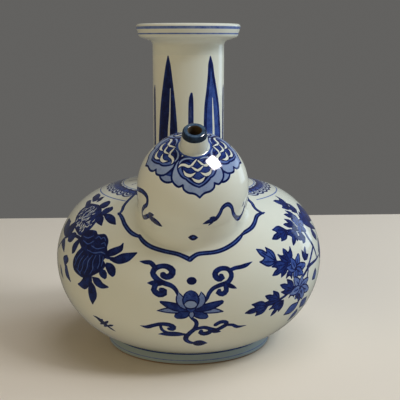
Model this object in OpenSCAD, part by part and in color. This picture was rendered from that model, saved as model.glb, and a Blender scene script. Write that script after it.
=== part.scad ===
// Kendi: a porcelain pouring vessel with a round body, a flanged neck and a breast-shaped spout.
// The thrown sections are joined with slip, clay let down with water, before the firing.
// Millimetres, +Z up, origin on the table at the centre of the foot, spout towards -Y.

/* [Body] */
// Largest radius of the body, at its middle seam
body_r = 86; // [82:0.5:92]
// Height of the middle seam above the table
seam_z = 57; // [54:0.5:60]
// Height of the shoulder's crown above the middle seam
crown_rise = 52.4; // [48:0.2:56]
// Depth of the belly's lowest point below the seam, before the base is cut flat
belly_drop = 58.4; // [56:0.2:62]
// Thickness of the body's wall
wall = 4.5; // [3.5:0.1:6]
// Thickness of the flat base
base_t = 6; // [4:0.2:9]

/* [Foot] */
// Height of the foot ring
foot_h = 6.4; // [5:0.1:9]
// Width of the foot ring, from its outer to its inner wall
foot_w = 5.5; // [4:0.1:8]
// How far the foot stands out past the base that it carries
foot_step = 0.4; // [0:0.1:2]
// How much wider the foot is at the table than at its top
foot_flare = 0.5; // [0:0.1:2]
// Chamfer of the foot's bare bottom edges
foot_edge = 0.9; // [0.3:0.1:1.5]

/* [Neck] */
// Outer radius of the neck
neck_r = 22.6; // [20:0.2:24]
// Thickness of the neck's wall
neck_wall = 4.2; // [3:0.1:6]
// Length of the neck between its two joints
neck_h = 77.5; // [60:0.5:95]

/* [Mouth] */
// Height of the mouth piece above the neck
mouth_h = 18.5; // [16:0.5:24]
// Radius of the rim
rim_r = 32.8; // [31:0.2:38]
// Height of the upright wall of the flange
flange_h = 10.4; // [8:0.2:13]
// How much narrower the flange is at its lower edge than at the rim
flange_lean = 1.3; // [0:0.1:3]
// Thickness of the rim
rim_t = 3.6; // [2.4:0.1:5]
// Radius of the hollow curve under the flange
cove_r = 6.6; // [4:0.2:7.5]

/* [Spout] */
// Radius of the spout's bulb
bulb_r = 32.1; // [28:0.1:34]
// Distance of the bulb's centre in front of the body's axis
bulb_reach = 61.5; // [60:0.5:68]
// Height of the bulb's centre above the table
bulb_z = 112.4; // [109:0.2:117]
// Upward slope of the spout's axis, in degrees
spout_tilt = 56; // [50:1:60]
// Thickness of the bulb's wall
bulb_wall = 4; // [3:0.1:6]
// Length of the straight stretch below the bulb's dome
skirt_l = 6; // [2:0.5:10]
// Radius of the bend below it, where the bulb narrows beside the neck
root_bend_r = 22; // [16:0.5:26]
// Radius of the hole through the body's wall under the bulb
passage_r = 11; // [8:0.5:13]

/* [Nozzle] */
// Length of the nozzle above the bulb's dome
nozzle_l = 10.2; // [8:0.2:16]
// Outer radius of the nozzle where it stands on the bulb
nozzle_r = 7.8; // [7:0.1:9]
// Outer radius of the nozzle's lip
tip_r = 6.6; // [6:0.1:8]
// Radius of the pouring hole
nozzle_bore_r = 3.75; // [2.5:0.05:4.5]
// Rounding of the lip's edges
tip_edge = 1.2; // [0.6:0.1:1.4]

/* [Slip] */
// Thickness of the slip in every joint
slip = 0.8; // [0.4:0.1:1.4]
// Size of the slip fillet at the foot of the neck
neck_fillet = 4.5; // [2.5:0.1:6]
// Size of the slip fillet round the bulb
bulb_fillet = 5; // [3:0.1:7]
// Size of the slip fillet round the nozzle
nozzle_fillet = 2.6; // [1.5:0.1:4]
// Width of the bead of slip that squeezes out inside the middle seam
seam_bead = 1.6; // [0.6:0.1:3]

/* [Hidden] */
$fn = 144;

// Porcelain, slip and painted lip as they look after firing
glaze_white = "#e6e9e6";
slip_white = "#d9d8cf";
lip_blue = "#2a3566";

// Each half of the body is an oval of two arcs, a tight one at the seam and a flat one at the pole.
// The arcs meet on a line that leans 7 across for every 24 up, so their radii are whole shares
// of the difference between the body's radius and its rise.
lean_across = 7;
lean_up = 24;
lean_slant = 25;
function lean_unit(rise) = (body_r - rise) / (lean_across - lean_slant + lean_up);
function seam_arc(rise) = rise - lean_unit(rise) * (lean_slant - lean_up);
function pole_arc(rise) = seam_arc(rise) + lean_unit(rise) * lean_slant;
function seam_arc_x(rise) = lean_unit(rise) * lean_across;
function pole_arc_drop(rise) = lean_unit(rise) * lean_up;

// Radius of the body, grown by a layer, at a height above the table
function arc_meet(rise, grow) = (seam_arc(rise) + grow) * lean_up / lean_slant;
function oval_r(rise, h, grow) =
    h > rise + grow ? 0
    : h > arc_meet(rise, grow) ? sqrt((pole_arc(rise) + grow) ^ 2 - (h + pole_arc_drop(rise)) ^ 2)
    : seam_arc_x(rise) + sqrt((seam_arc(rise) + grow) ^ 2 - h ^ 2);
function body_r_at(z, grow = 0) =
    z >= seam_z ? oval_r(crown_rise, z - seam_z, grow) : oval_r(belly_drop, seam_z - z, grow);

// Heights from the table up
base_z = foot_h + slip;
floor_z = base_z + base_t;
neck_bore_r = neck_r - neck_wall;
land_r = neck_r + neck_fillet;
seat_z = seam_z - pole_arc_drop(crown_rise) + sqrt(pole_arc(crown_rise) ^ 2 - land_r ^ 2);
neck_z = seat_z + slip;
mouth_z = neck_z + neck_h + slip;
rim_z = mouth_z + mouth_h;
foot_top_r = body_r_at(base_z) + foot_step;
foot_in_r = foot_top_r - foot_w;

// Openings: each hole in a joint stands back by the slip's thickness
joint_bore_r = neck_bore_r + slip;
crown_hole_r = nozzle_bore_r + slip;

// Past the bend the bulb's root narrows in line with the neck beside it, on into the body
root_turn = 90 - spout_tilt;
bend_x = bulb_r - root_bend_r;
root_l = bulb_r + skirt_l;

// Blunt edge left where a slip fillet thins out, and the play of the faceted fillet
feather = 0.25;
play = 0.05;
fillet_turns = 72;
fillet_steps = 6;
wall_steps = 3;
room_share = 0.45;

// Turns, in degrees, of the flange's lower edge up to its wall and of the cup's floor into the throat
edge_turn = 80;
throat_turn = 50;

// Points of an arc from one angle to another
arc_steps = 10;
lip_steps = 6;
function arc(centre, r, from, to, steps = arc_steps) =
    [
        for (i = [0:steps])
            let (a = from + (to - from) * i / steps)
            centre + r * [cos(a), sin(a)]
    ];

// Right half of the body's outline above the seam, with its seam on the X axis
module half_oval(rise, grow) {
    drop = pole_arc_drop(rise);
    far = 2 * pole_arc(rise);
    lean = [lean_across, lean_up] / lean_slant;
    intersection() {
        translate([0, -drop])
            circle(pole_arc(rise) + grow);
        polygon([[0, 0], [0, far], [0, -drop] + far * lean, [seam_arc_x(rise), 0]]);
    }
    intersection() {
        translate([seam_arc_x(rise), 0])
            circle(seam_arc(rise) + grow);
        polygon([[seam_arc_x(rise), 0], [seam_arc_x(rise), 0] + far * lean, [far, 0]]);
    }
}

// The whole body as a solid, grown outwards by a layer
module body_solid(grow = 0) {
    translate([0, 0, seam_z])
        rotate_extrude() {
            half_oval(crown_rise, grow);
            mirror([0, 1])
                half_oval(belly_drop, grow);
        }
}

// Half of the body's wall, from a height to another, seen from the seam
module body_half(rise, from, to) {
    rotate_extrude()
        intersection() {
            difference() {
                half_oval(rise, 0);
                half_oval(rise, -wall);
            }
            translate([0, from])
                square([body_r + wall, to - from]);
        }
}

module tube(r_out, r_in, h) {
    rotate_extrude()
        translate([r_in, 0])
            square([r_out - r_in, h]);
}

// Turns a shape that stands on the Z axis to the spout's slope, with the bulb's centre as its zero
module on_spout() {
    translate([0, -bulb_reach, bulb_z])
        rotate([90 - spout_tilt, 0, 0])
            children();
}

// Turned ring that carries the vessel; its edges are chamfered and bare of glaze
module foot_ring() {
    color(glaze_white)
        rotate_extrude()
            polygon([
                [foot_in_r, foot_h],
                [foot_in_r, foot_edge],
                [foot_in_r + foot_edge, 0],
                [foot_top_r + foot_flare - foot_edge, 0],
                [foot_top_r + foot_flare, foot_edge],
                [foot_top_r, foot_h]
            ]);
}

module foot_luting() {
    color(slip_white)
        translate([0, 0, foot_h])
            tube(body_r_at(base_z), foot_in_r, slip);
}

// Bowl-shaped lower half with its flat base
module lower_body() {
    color(glaze_white) {
        translate([0, 0, seam_z])
            mirror([0, 0, 1])
                body_half(belly_drop, slip / 2, seam_z - floor_z);
        translate([0, 0, seam_z])
            mirror([0, 0, 1])
                rotate_extrude()
                    intersection() {
                        half_oval(belly_drop, 0);
                        translate([0, seam_z - floor_z])
                            square([body_r, base_t]);
                    }
    }
}

// Slip in the middle seam, flush outside and proud inside
module body_luting() {
    color(slip_white)
        translate([0, 0, seam_z - slip / 2])
            tube(body_r_at(seam_z + slip / 2), body_r - wall - seam_bead, slip);
}

// Domed upper half with the neck's opening, cut flat there, and the hole to the spout
module upper_body() {
    color(glaze_white)
        difference() {
            translate([0, 0, seam_z])
                body_half(crown_rise, slip / 2, seat_z - seam_z);
            translate([0, 0, seam_z])
                cylinder(r = joint_bore_r, h = crown_rise);
            on_spout()
                translate([0, 0, -bulb_reach])
                    cylinder(r = passage_r, h = bulb_reach);
        }
}

// Slip at the foot of the neck, stopped short of the spout's own slip where the two come close
module neck_luting() {
    color(slip_white)
        difference() {
            translate([0, 0, seat_z])
                rotate_extrude() {
                    translate([joint_bore_r, 0])
                        square([neck_r - joint_bore_r, slip]);
                    difference() {
                        translate([neck_r, 0])
                            square([neck_fillet, neck_fillet]);
                        translate([land_r + feather, neck_fillet + feather])
                            circle(neck_fillet);
                    }
                }
            on_spout()
                rotate_extrude()
                    bulb_outline(slip + play);
        }
}

module neck() {
    color(glaze_white)
        translate([0, 0, neck_z])
            difference() {
                cylinder(r = neck_r, h = neck_h);
                translate([0, 0, -slip])
                    cylinder(r = neck_bore_r, h = neck_h + 2 * slip);
            }
}

module mouth_luting() {
    color(slip_white)
        translate([0, 0, neck_z + neck_h])
            tube(neck_r, joint_bore_r, slip);
}

// Cup-shaped mouth: a hollow curve under the flange, a rounded rim and a throat that narrows to the neck
module mouth_flange() {
    under_z = mouth_h - flange_h;
    low_r = rim_r - flange_lean;
    round_r = rim_t / 2;
    throat_z = under_z - rim_t / 2;
    color(glaze_white)
        translate([0, 0, mouth_z])
            rotate_extrude()
                polygon(concat(
                    [[joint_bore_r, 0], [neck_r, 0]],
                    arc([neck_r + cove_r, under_z - cove_r], cove_r, 180, 90),
                    arc([low_r - round_r, under_z + round_r], round_r, 270, 270 + edge_turn),
                    arc([rim_r - round_r, mouth_h - round_r], round_r, 0, 180),
                    arc([rim_r - rim_t - cove_r, under_z + rim_t + cove_r], cove_r, 0, -throat_turn),
                    [[joint_bore_r, throat_z]]
                ));
}

// Outline of the bulb inside its wall's outer face, or inside another layer, as a radius by depth
function bulb_r_at(s, grow = 0) =
    let (bend = root_bend_r + grow, past = s - skirt_l)
    s < 0 ? sqrt((bulb_r + grow) ^ 2 - s ^ 2)
    : past < 0 ? bulb_r + grow
    : past < bend * sin(root_turn) ? bend_x + sqrt(bend ^ 2 - past ^ 2)
    : bend_x + (bend - past * sin(root_turn)) / cos(root_turn);

module bulb_outline(grow = 0) {
    dome_r = bulb_r + grow;
    difference() {
        polygon(concat(
            [[0, dome_r], [dome_r, dome_r]],
            arc([bend_x, -skirt_l], root_bend_r + grow, 0, -root_turn),
            [[bulb_r_at(root_l, grow), -root_l], [0, -root_l]]
        ));
        difference() {
            square(dome_r);
            circle(dome_r);
        }
    }
}

// The space that the spout leaves free for the neck, whatever its reach
module neck_room() {
    translate([0, 0, seat_z])
        cylinder(r = neck_r + slip, h = slip + neck_h);
}

// Hollow bulb, trimmed to sit on the shoulder and beside the neck with room for the slip
module spout_bulb() {
    color(glaze_white)
        difference() {
            on_spout()
                rotate_extrude()
                    difference() {
                        bulb_outline();
                        bulb_outline(-bulb_wall);
                    }
            body_solid(slip);
            neck_room();
            on_spout()
                cylinder(r = crown_hole_r, h = bulb_r + slip);
        }
}

// A point of the bulb at a turn about its axis, a radius from it and a depth below its centre
function spout_point(turn, r, s) =
    let (y = r * sin(turn))
    [
        r * cos(turn),
        -bulb_reach + y * sin(spout_tilt) + s * cos(spout_tilt),
        bulb_z + y * cos(spout_tilt) - s * sin(spout_tilt)
    ];

// Depth at which the bulb, grown by one layer, goes into the body, grown by another
function clear_of_body(p, grow) = norm([p.x, p.y]) - body_r_at(p.z, grow);
function meet_depth(turn, bulb_grow, body_grow, lo = 0, hi = root_l, tries = 24) =
    tries == 0 ? (lo + hi) / 2
    : let (mid = (lo + hi) / 2)
      clear_of_body(spout_point(turn, bulb_r_at(mid, bulb_grow), mid), body_grow) > 0
        ? meet_depth(turn, bulb_grow, body_grow, mid, hi, tries - 1)
        : meet_depth(turn, bulb_grow, body_grow, lo, mid, tries - 1);
function meet_point(turn, bulb_grow, body_grow) =
    let (s = meet_depth(turn, bulb_grow, body_grow))
    spout_point(turn, bulb_r_at(s, bulb_grow), s);

// The fillet is full at the front and sides, and takes less than half of the room beside the neck
function fillet_size(turn) =
    let (p = meet_point(turn, 0, slip))
    max(slip, min(bulb_fillet, (norm([p.x, p.y]) - land_r) * room_share));

// Section of the slip at a turn: down the hollow curve, back under the bulb's wall, and up that wall
function luting_section(turn) =
    let (
        size = fillet_size(turn),
        foot_s = meet_depth(turn, play, slip),
        rise = [
            for (i = [0:wall_steps])
                let (s = foot_s - size * i / wall_steps)
                spout_point(turn, bulb_r_at(s, play), s)
        ],
        top = rise[wall_steps],
        corner = rise[0],
        toe = meet_point(turn, size, play),
        curve = [
            for (i = [1:fillet_steps])
                let (t = i / fillet_steps)
                top * (1 - t) ^ 2 + corner * 2 * t * (1 - t) + toe * t ^ 2
        ]
    )
    concat(
        curve,
        [
            meet_point(turn, size / 2, play),
            meet_point(turn, 0, play),
            meet_point(turn, -bulb_wall, play),
            meet_point(turn, -bulb_wall, slip - play),
            meet_point(turn, play, slip - play)
        ],
        rise
    );

// Slip under the bulb's trimmed edge, with its hollow fillet outside
module spout_luting() {
    sections = [for (i = [0:fillet_turns - 1]) luting_section(360 * i / fillet_turns)];
    points = [for (ring = sections) for (p = ring) p];
    across = len(sections[0]);
    function at(ring, i) = (ring % fillet_turns) * across + i % across;
    faces = [
        for (ring = [0:fillet_turns - 1])
            for (i = [0:across - 1])
                for (tri = [
                    [at(ring, i), at(ring + 1, i), at(ring + 1, i + 1)],
                    [at(ring, i), at(ring + 1, i + 1), at(ring, i + 1)]
                ])
                    tri
    ];
    color(slip_white)
        difference() {
            polyhedron(points, faces);
            neck_room();
        }
}

// Slip between the nozzle and the dome, with its hollow fillet outside
module nozzle_luting() {
    toe_r = nozzle_r + nozzle_fillet;
    fillet_z = sqrt((bulb_r + nozzle_fillet) ^ 2 - toe_r ^ 2);
    toe = atan2(fillet_z, toe_r);
    top_r = bulb_r + slip;
    color(slip_white)
        on_spout()
            rotate_extrude()
                polygon(concat(
                    arc([0, 0], bulb_r, acos(crown_hole_r / bulb_r), toe),
                    arc([toe_r, fillet_z], nozzle_fillet, toe + 180, 180),
                    arc([0, 0], top_r, acos(nozzle_r / top_r), acos(crown_hole_r / top_r))
                ));
}

// Short tapered nozzle with a rounded lip and a true pouring hole
module spout_nozzle() {
    tip_z = bulb_r + nozzle_l;
    straight_z = bulb_r + nozzle_fillet;
    color(lip_blue)
        on_spout()
            difference() {
                rotate_extrude()
                    polygon(concat(
                        [[0, bulb_r - slip], [nozzle_r, bulb_r - slip * 2], [nozzle_r, straight_z]],
                        arc([tip_r - tip_edge, tip_z - tip_edge], tip_edge, 0, 90, lip_steps),
                        [[0, tip_z]]
                    ));
                sphere(bulb_r + slip);
                cylinder(r = nozzle_bore_r, h = tip_z + slip);
            }
}

foot_ring();
foot_luting();
lower_body();
body_luting();
upper_body();
neck_luting();
neck();
mouth_luting();
mouth_flange();
spout_luting();
spout_bulb();
nozzle_luting();
spout_nozzle();
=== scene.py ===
import math
import random

import bpy
import numpy as np
from mathutils import Matrix, Vector
from mathutils.geometry import delaunay_2d_cdt, tessellate_polygon


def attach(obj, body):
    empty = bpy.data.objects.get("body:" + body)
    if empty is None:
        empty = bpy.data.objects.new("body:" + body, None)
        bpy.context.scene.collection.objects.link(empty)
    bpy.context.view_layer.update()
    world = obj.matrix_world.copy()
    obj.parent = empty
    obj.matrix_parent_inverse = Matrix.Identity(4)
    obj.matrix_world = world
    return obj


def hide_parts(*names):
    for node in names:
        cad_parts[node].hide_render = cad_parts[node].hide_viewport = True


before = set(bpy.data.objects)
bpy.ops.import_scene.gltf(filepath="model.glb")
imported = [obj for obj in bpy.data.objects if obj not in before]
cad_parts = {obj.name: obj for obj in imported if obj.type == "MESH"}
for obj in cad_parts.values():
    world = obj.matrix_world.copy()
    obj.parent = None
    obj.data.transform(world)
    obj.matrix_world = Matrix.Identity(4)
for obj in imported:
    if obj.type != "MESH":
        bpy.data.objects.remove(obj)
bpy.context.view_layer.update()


# Foot ring
# A low ring of porcelain, turned on the wheel and luted under the base. Its wall is glazed, and its
# resting edge was wiped bare before the firing so that it wouldn't stick, and burnt to a tan line.

MM = 0.001
COLUMNS = 180
SHARP = math.cos(math.radians(40))
FOOT_TOP = 6.4
FOOT_R = 52.96
FOOT_FLARE = 0.5
FOOT_IN_R = 47.46
FOOT_EDGE = 0.9
BARE_Z = 0.8
FOOT_LINE = (2.6, 3.0, 0.45)
BISCUIT_DARK = "#6E5238"
BISCUIT_LIGHT = "#96795A"
GLAZE_WHITE = "#D2D6C9"
GLAZE_THIN = "#DAD9CB"
POOLED_GLAZE_AND_SHADE = "#93A4AA"
COBALT_TONES = ((0.0, "#B4BECB"), (0.3, "#8798BA"), (0.55, "#3A5498"), (0.78, "#12286A"), (1.0, "#060E40"))


def linear(colour):
    """An sRGB hex colour as linear red, green, blue and alpha."""
    parts = [int(colour[i:i + 2], 16) / 255 for i in (1, 3, 5)]
    return [c / 12.92 if c <= 0.04045 else ((c + 0.055) / 1.055) ** 2.4 for c in parts] + [1.0]


def add_node(tree, kind, inputs=None, **settings):
    """One shader node with its settings; an input takes a value or another node's output."""
    made = tree.nodes.new(kind)
    for name, value in settings.items():
        setattr(made, name, value)
    for name, value in (inputs or {}).items():
        if isinstance(value, bpy.types.NodeSocket):
            tree.links.new(value, made.inputs[name])
        else:
            made.inputs[name].default_value = value
    return made


def noise(tree, place, size, detail):
    """Noise with spots of a size in mm."""
    made = add_node(tree, "ShaderNodeTexNoise", {
        "Vector": place, "Scale": 1 / (size * MM), "Detail": detail})
    return made.outputs["Fac"]


def mapped(tree, value, low, high, to_low=0.0, to_high=1.0):
    """A value stretched from one range to another."""
    made = add_node(tree, "ShaderNodeMapRange", {
        "Value": value, "From Min": low, "From Max": high, "To Min": to_low, "To Max": to_high})
    return made.outputs["Result"]


def times(tree, first, second):
    """The product of two values."""
    return add_node(tree, "ShaderNodeMath", {0: first, 1: second}, operation="MULTIPLY").outputs[0]


def mixed(tree, share, first, second):
    """Two colours, mixed by a share."""
    made = add_node(tree, "ShaderNodeMix", {"Factor": share, "A": first, "B": second}, data_type="RGBA")
    return made.outputs["Result"]


def new_surface(name):
    """A material, its node tree, and the coordinates of the piece that it is on."""
    material = bpy.data.materials.new(name)
    material.use_nodes = True
    tree = material.node_tree
    return material, tree, add_node(tree, "ShaderNodeTexCoord").outputs["Object"]


def finish_surface(tree, colour, relief, strength, height, roughness, index):
    """Puts a colour and a relief, of a height in mm, on a tree's shader."""
    bump = add_node(tree, "ShaderNodeBump", {
        "Height": relief, "Strength": strength, "Distance": height * MM})
    shader = tree.nodes["Principled BSDF"]
    tree.links.new(colour, shader.inputs["Base Color"])
    tree.links.new(bump.outputs["Normal"], shader.inputs["Normal"])
    shader.inputs["Roughness"].default_value = roughness
    shader.inputs["IOR"].default_value = index


def glazed_porcelain(name, cobalt_tones):
    """White porcelain under a clear feldspar glaze, with cobalt painted on the raw clay.

    The glaze gives a wet, faintly rippled gloss and looks blue-green where it pools; the same darker
    colour, laid over the whole foot ring, is painted shade. Cobalt runs a little in the firing, so its
    depth drifts along a stroke and heaps up in small dark specks.
    """
    material, tree, place = new_surface(name)
    painted = add_node(tree, "ShaderNodeAttribute", attribute_name="cobalt").outputs["Fac"]
    # The pooling attribute carries both glaze pooled in hollows and painted shade, full strength on the
    # foot ring.
    pooled_and_shaded = add_node(tree, "ShaderNodeAttribute", attribute_name="pool_and_shade").outputs["Fac"]
    drift = mapped(tree, noise(tree, place, size=4, detail=3.0), 0.3, 0.7, 0.86, 1.14)
    heap = mapped(tree, noise(tree, place, size=0.9, detail=2.0), 0.55, 0.75, 1.0, 1.25)
    depth = times(tree, times(tree, painted, drift), heap)
    cobalt = add_node(tree, "ShaderNodeValToRGB", {"Fac": depth})
    ramp = cobalt.color_ramp
    while len(ramp.elements) < len(cobalt_tones):
        ramp.elements.new(0.5)
    for element, (position, colour) in zip(ramp.elements, cobalt_tones):
        element.position = position
        element.color = linear(colour)
    cloud = noise(tree, place, size=30, detail=2.0)
    white = mixed(tree, cloud, linear(GLAZE_WHITE), linear(GLAZE_THIN))
    glaze = mixed(tree, pooled_and_shaded, white, linear(POOLED_GLAZE_AND_SHADE))
    colour = mixed(tree, mapped(tree, painted, 0.0, 0.22), glaze, cobalt.outputs["Color"])
    ripple = noise(tree, place, size=7, detail=1.0)
    finish_surface(tree, colour, ripple, strength=0.25, height=0.12, roughness=0.09, index=1.52)
    return material


def bare_biscuit(name, dark, light):
    """Unglazed porcelain, dry and slightly gritty, flashed tan by iron in the kiln's air."""
    material, tree, place = new_surface(name)
    colour = mixed(tree, noise(tree, place, size=6, detail=4.0), linear(dark), linear(light))
    grit = noise(tree, place, size=0.5, detail=2.0)
    finish_surface(tree, colour, grit, strength=0.4, height=0.1, roughness=0.75, index=1.5)
    return material


class Shell:
    """A closed mesh being built, in millimetres, with a normal and a depth of colour at each corner."""

    def __init__(self):
        self.points = []
        self.faces = []
        self.normals = []
        self.cobalt = []
        self.pool_and_shade = []
        self.slots = []

    def add_points(self, points):
        """Adds points and gives back their numbers."""
        first = len(self.points)
        self.points.extend(tuple(p) for p in points)
        return list(range(first, len(self.points)))

    def add_face(self, corners, normals, cobalt, pool_and_shade=0.0, slot=0):
        """Adds a face by its points' numbers, with the normal and the depth of cobalt at each corner."""
        self.faces.append(tuple(corners))
        self.normals.extend(tuple(n) for n in normals)
        self.cobalt.extend(cobalt)
        self.pool_and_shade.extend([pool_and_shade] * len(corners))
        self.slots.append(slot)

    def close(self, near, far):
        """A strip of triangles between two loops of (turn, point), the far one further up the outside."""
        i = j = 0
        start = near[0][0]
        far = sorted(((turn - start) % 360, k) for turn, k in far)
        near = sorted(((turn - start) % 360, k) for turn, k in near)
        while i < len(near) or j < len(far):
            next_near = near[i + 1][0] if i + 1 < len(near) else 360.0
            next_far = far[j + 1][0] if j + 1 < len(far) else 360.0
            a, b = near[i % len(near)][1], far[j % len(far)][1]
            if j >= len(far) or (i < len(near) and next_near <= next_far):
                corners = (a, near[(i + 1) % len(near)][1], b)
                i += 1
            else:
                corners = (a, far[(j + 1) % len(far)][1], b)
                j += 1
            p, q, r = (np.array(self.points[k]) for k in corners)
            normal = np.cross(q - p, r - p)
            size = np.linalg.norm(normal)
            if size > 1e-9:
                self.add_face(corners, [normal / size] * 3, [0.0] * 3)

    def turn(self, profile, place=None, tone=None, closed=True, bare=None, pool_and_shade=0.0):
        """Turns a profile of (radius, height), with its outside on its right, round the upright axis.

        tone gives the depth of cobalt by radius and height, bare says which faces have no glaze, and
        an open profile gives back its first and last loops.
        """
        profile = np.array(profile, float)
        ends = np.vstack([profile[1:], profile[:1]]) if closed else profile[1:]
        starts = profile if closed else profile[:-1]
        along = ends - starts
        along /= np.linalg.norm(along, axis=1)[:, None]
        facing = np.stack([along[:, 1], -along[:, 0]], 1)
        rings = []
        turns = [360 * c / COLUMNS for c in range(COLUMNS)]
        spin = np.array([[math.sin(math.radians(t)), -math.cos(math.radians(t))] for t in turns])
        place = place or Matrix.Identity(4)
        lean = np.array(place.to_3x3())
        shift = np.array(place.translation)
        for r, z in profile:
            count = COLUMNS if r > 1e-6 else 1
            ring = np.column_stack([r * spin[:count], np.full(count, z)])
            made = self.add_points(ring @ lean.T + shift)
            rings.append(made * COLUMNS if count == 1 else made)
        count = len(starts)
        for i in range(count):
            shared = []
            for other in (i - 1, i + 1):
                if not closed and not 0 <= other < count:
                    shared.append(facing[i])
                    continue
                both = facing[i] + facing[other % count]
                smooth = facing[i] @ facing[other % count] > SHARP
                shared.append(both / np.linalg.norm(both) if smooth else facing[i])
            low, high = rings[i], rings[(i + 1) % len(rings)]
            tones = [tone(*starts[i]) if tone else 0.0, tone(*ends[i]) if tone else 0.0]
            slot = 1 if bare and bare(*((starts[i] + ends[i]) / 2)) else 0
            for c in range(COLUMNS):
                d = (c + 1) % COLUMNS
                corners = [(low[c], 0, c), (low[d], 0, d), (high[d], 1, d), (high[c], 1, c)]
                if low[c] == low[d]:
                    corners.pop(1)
                if high[c] == high[d]:
                    corners.pop(2)
                normals = [
                    lean @ np.array([*(shared[end][0] * spin[column]), shared[end][1]])
                    for _, end, column in corners]
                self.add_face([k for k, _, _ in corners], normals, [tones[end] for _, end, _ in corners],
                              pool_and_shade, slot)
        return list(zip(turns, rings[0])), list(zip(turns, rings[-1]))

    def drape(self, rows):
        """A skin over loops of points, one above the other up its outside; gives back the end loops."""
        net = np.array(rows)
        facing = np.cross(np.roll(net, -1, 1) - np.roll(net, 1, 1), np.gradient(net, axis=0))
        facing /= np.linalg.norm(facing, axis=2)[:, :, None]
        made = [self.add_points(row) for row in net]
        columns = net.shape[1]
        for i in range(len(made) - 1):
            for c in range(columns):
                picks = [(i, c), (i, (c + 1) % columns), (i + 1, (c + 1) % columns), (i + 1, c)]
                self.add_face([made[p][q] for p, q in picks], [facing[p, q] for p, q in picks], [0.0] * 4)
        turns = [360 * c / columns for c in range(columns)]
        return list(zip(turns, made[0])), list(zip(turns, made[-1]))

    def make(self, name, slot, *materials):
        """The finished piece, which takes the place of the node of its name."""
        mesh = bpy.data.meshes.new(name)
        mesh.from_pydata([Vector(p) * MM for p in self.points], [], self.faces)
        for title, values in (("cobalt", self.cobalt), ("pool_and_shade", self.pool_and_shade)):
            layer = mesh.attributes.new(title, "FLOAT", "CORNER")
            layer.data.foreach_set("value", np.array(values, np.float32))
        mesh.polygons.foreach_set("material_index", self.slots)
        mesh.shade_smooth()
        mesh.normals_split_custom_set(self.normals)
        for material in materials:
            mesh.materials.append(material)
        piece = bpy.data.objects.new(name + "_glazed", mesh)
        bpy.context.scene.collection.objects.link(piece)
        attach(piece, "root")
        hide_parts(name)


def arc(centre, radius, start, stop, steps=8):
    """Points of an arc, from one angle to another in degrees."""
    turns = [math.radians(start + (stop - start) * i / steps) for i in range(steps + 1)]
    return [(centre[0] + radius * math.cos(t), centre[1] + radius * math.sin(t)) for t in turns]


def with_lines(profile, lines, soft=0.2):
    """Adds points to a profile where painted lines begin and end, each line being low, high and depth."""
    marks = [z + d for low, high, _ in lines for z, d in ((low, -soft), (low, 0), (high, 0), (high, soft))]
    out = []
    for (r0, z0), (r1, z1) in zip(profile, profile[1:] + profile[:1]):
        out.append((r0, z0))
        cuts = sorted((z - z0) / (z1 - z0) for z in marks if min(z0, z1) < z < max(z0, z1))
        out.extend((r0 + (r1 - r0) * t, z0 + (z1 - z0) * t) for t in cuts)
    return out


def line_depth(lines, r_low, soft=0.2):
    """Depth of cobalt by radius and height for level lines on the outside of a turned piece."""
    def depth(r, z):
        if r < r_low:
            return 0.0
        return max(tone * np.clip(min(z - low + soft, high + soft - z) / soft, 0, 1)
                   for low, high, tone in lines)
    return depth


porcelain = glazed_porcelain("glazed_porcelain", COBALT_TONES)
biscuit = bare_biscuit("bare_biscuit", BISCUIT_DARK, BISCUIT_LIGHT)
foot_profile = [(FOOT_IN_R, FOOT_TOP)]
foot_profile += arc((FOOT_IN_R + FOOT_EDGE, FOOT_EDGE), FOOT_EDGE, 180, 270, 5)
foot_profile += arc((FOOT_R + FOOT_FLARE - FOOT_EDGE, FOOT_EDGE), FOOT_EDGE, 270, 360, 5)
foot_profile += [(FOOT_R, FOOT_TOP)]
foot = Shell()
# Painted shade: the whole foot wall takes the darker pooled-glaze colour at full strength, as it stands in
# shadow.
foot.turn(with_lines(foot_profile, [FOOT_LINE]), tone=line_depth([FOOT_LINE], FOOT_R - 1),
          bare=lambda r, z: z < BARE_Z, pool_and_shade=1.0)
foot.make("foot_ring", "glazed_porcelain", porcelain, biscuit)


# Foot luting
# The thin ring of slip that holds the foot ring under the base. It shows as a shallow groove, where the
# glaze has pooled and a dark line runs round.

SLIP = 0.8
BASE_Z = FOOT_TOP + SLIP
BASE_R = 52.56
GROOVE = 0.35
GROOVE_LINE = (6.5, 6.9, 0.6)

groove_profile = [(FOOT_IN_R, FOOT_TOP), (FOOT_R, FOOT_TOP)]
groove_profile += [(BASE_R - GROOVE, FOOT_TOP + SLIP / 2), (BASE_R, BASE_Z), (FOOT_IN_R, BASE_Z)]
foot_luting = Shell()
foot_luting.turn(with_lines(groove_profile, [GROOVE_LINE]), tone=line_depth([GROOVE_LINE], FOOT_IN_R + 1),
                 pool_and_shade=0.9)
foot_luting.make("foot_luting", "luting_slip", porcelain)


# Lower body
# The bowl-shaped half, thrown and trimmed, with a flat base inside the foot ring. Cobalt was brushed on the
# dry clay before glazing, and each stroke's edges are edges of the mesh. The glaze runs on over the slip of
# the middle seam, so the painting crosses it unbroken.

BODY_R = 86.0
SEAM_Z = 57.0
UPPER = (46.8, 39.2, 186.8, -134.4)
LOWER = (53.8, 32.2, 168.8, 110.4)
ARC_MEET = math.atan2(24, 7)
DEGREE = BODY_R * math.pi / 180
BODY_WRAP = 90
BLEED = 0.3
CORNER_INSET = 0.03
BARE, PALE, PETAL, SOFT, MID, DEEP, DARK = 0.0, 0.3, 0.4, 0.45, 0.62, 0.8, 0.97
LINE_W = 0.55
RIM_LINE = 0.6
LINE_SOFT = 0.15
CAP_LEAST = 0.15
LOTUS_PRESS = 1.12
FEATHERS = (-61.6, 35.4)
FEATHERS_R = 8.6
FEATHERS_SLANT = 1.28
FLECKS = 70
FLECK_TONE = 0.06
VEIN_W = 0.42
VEIN_END = 0.2
WALL = 4.5
BASE_ALONG = -63.63
FLOOR_Z = 13.2
SKIN = 0.6


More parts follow.
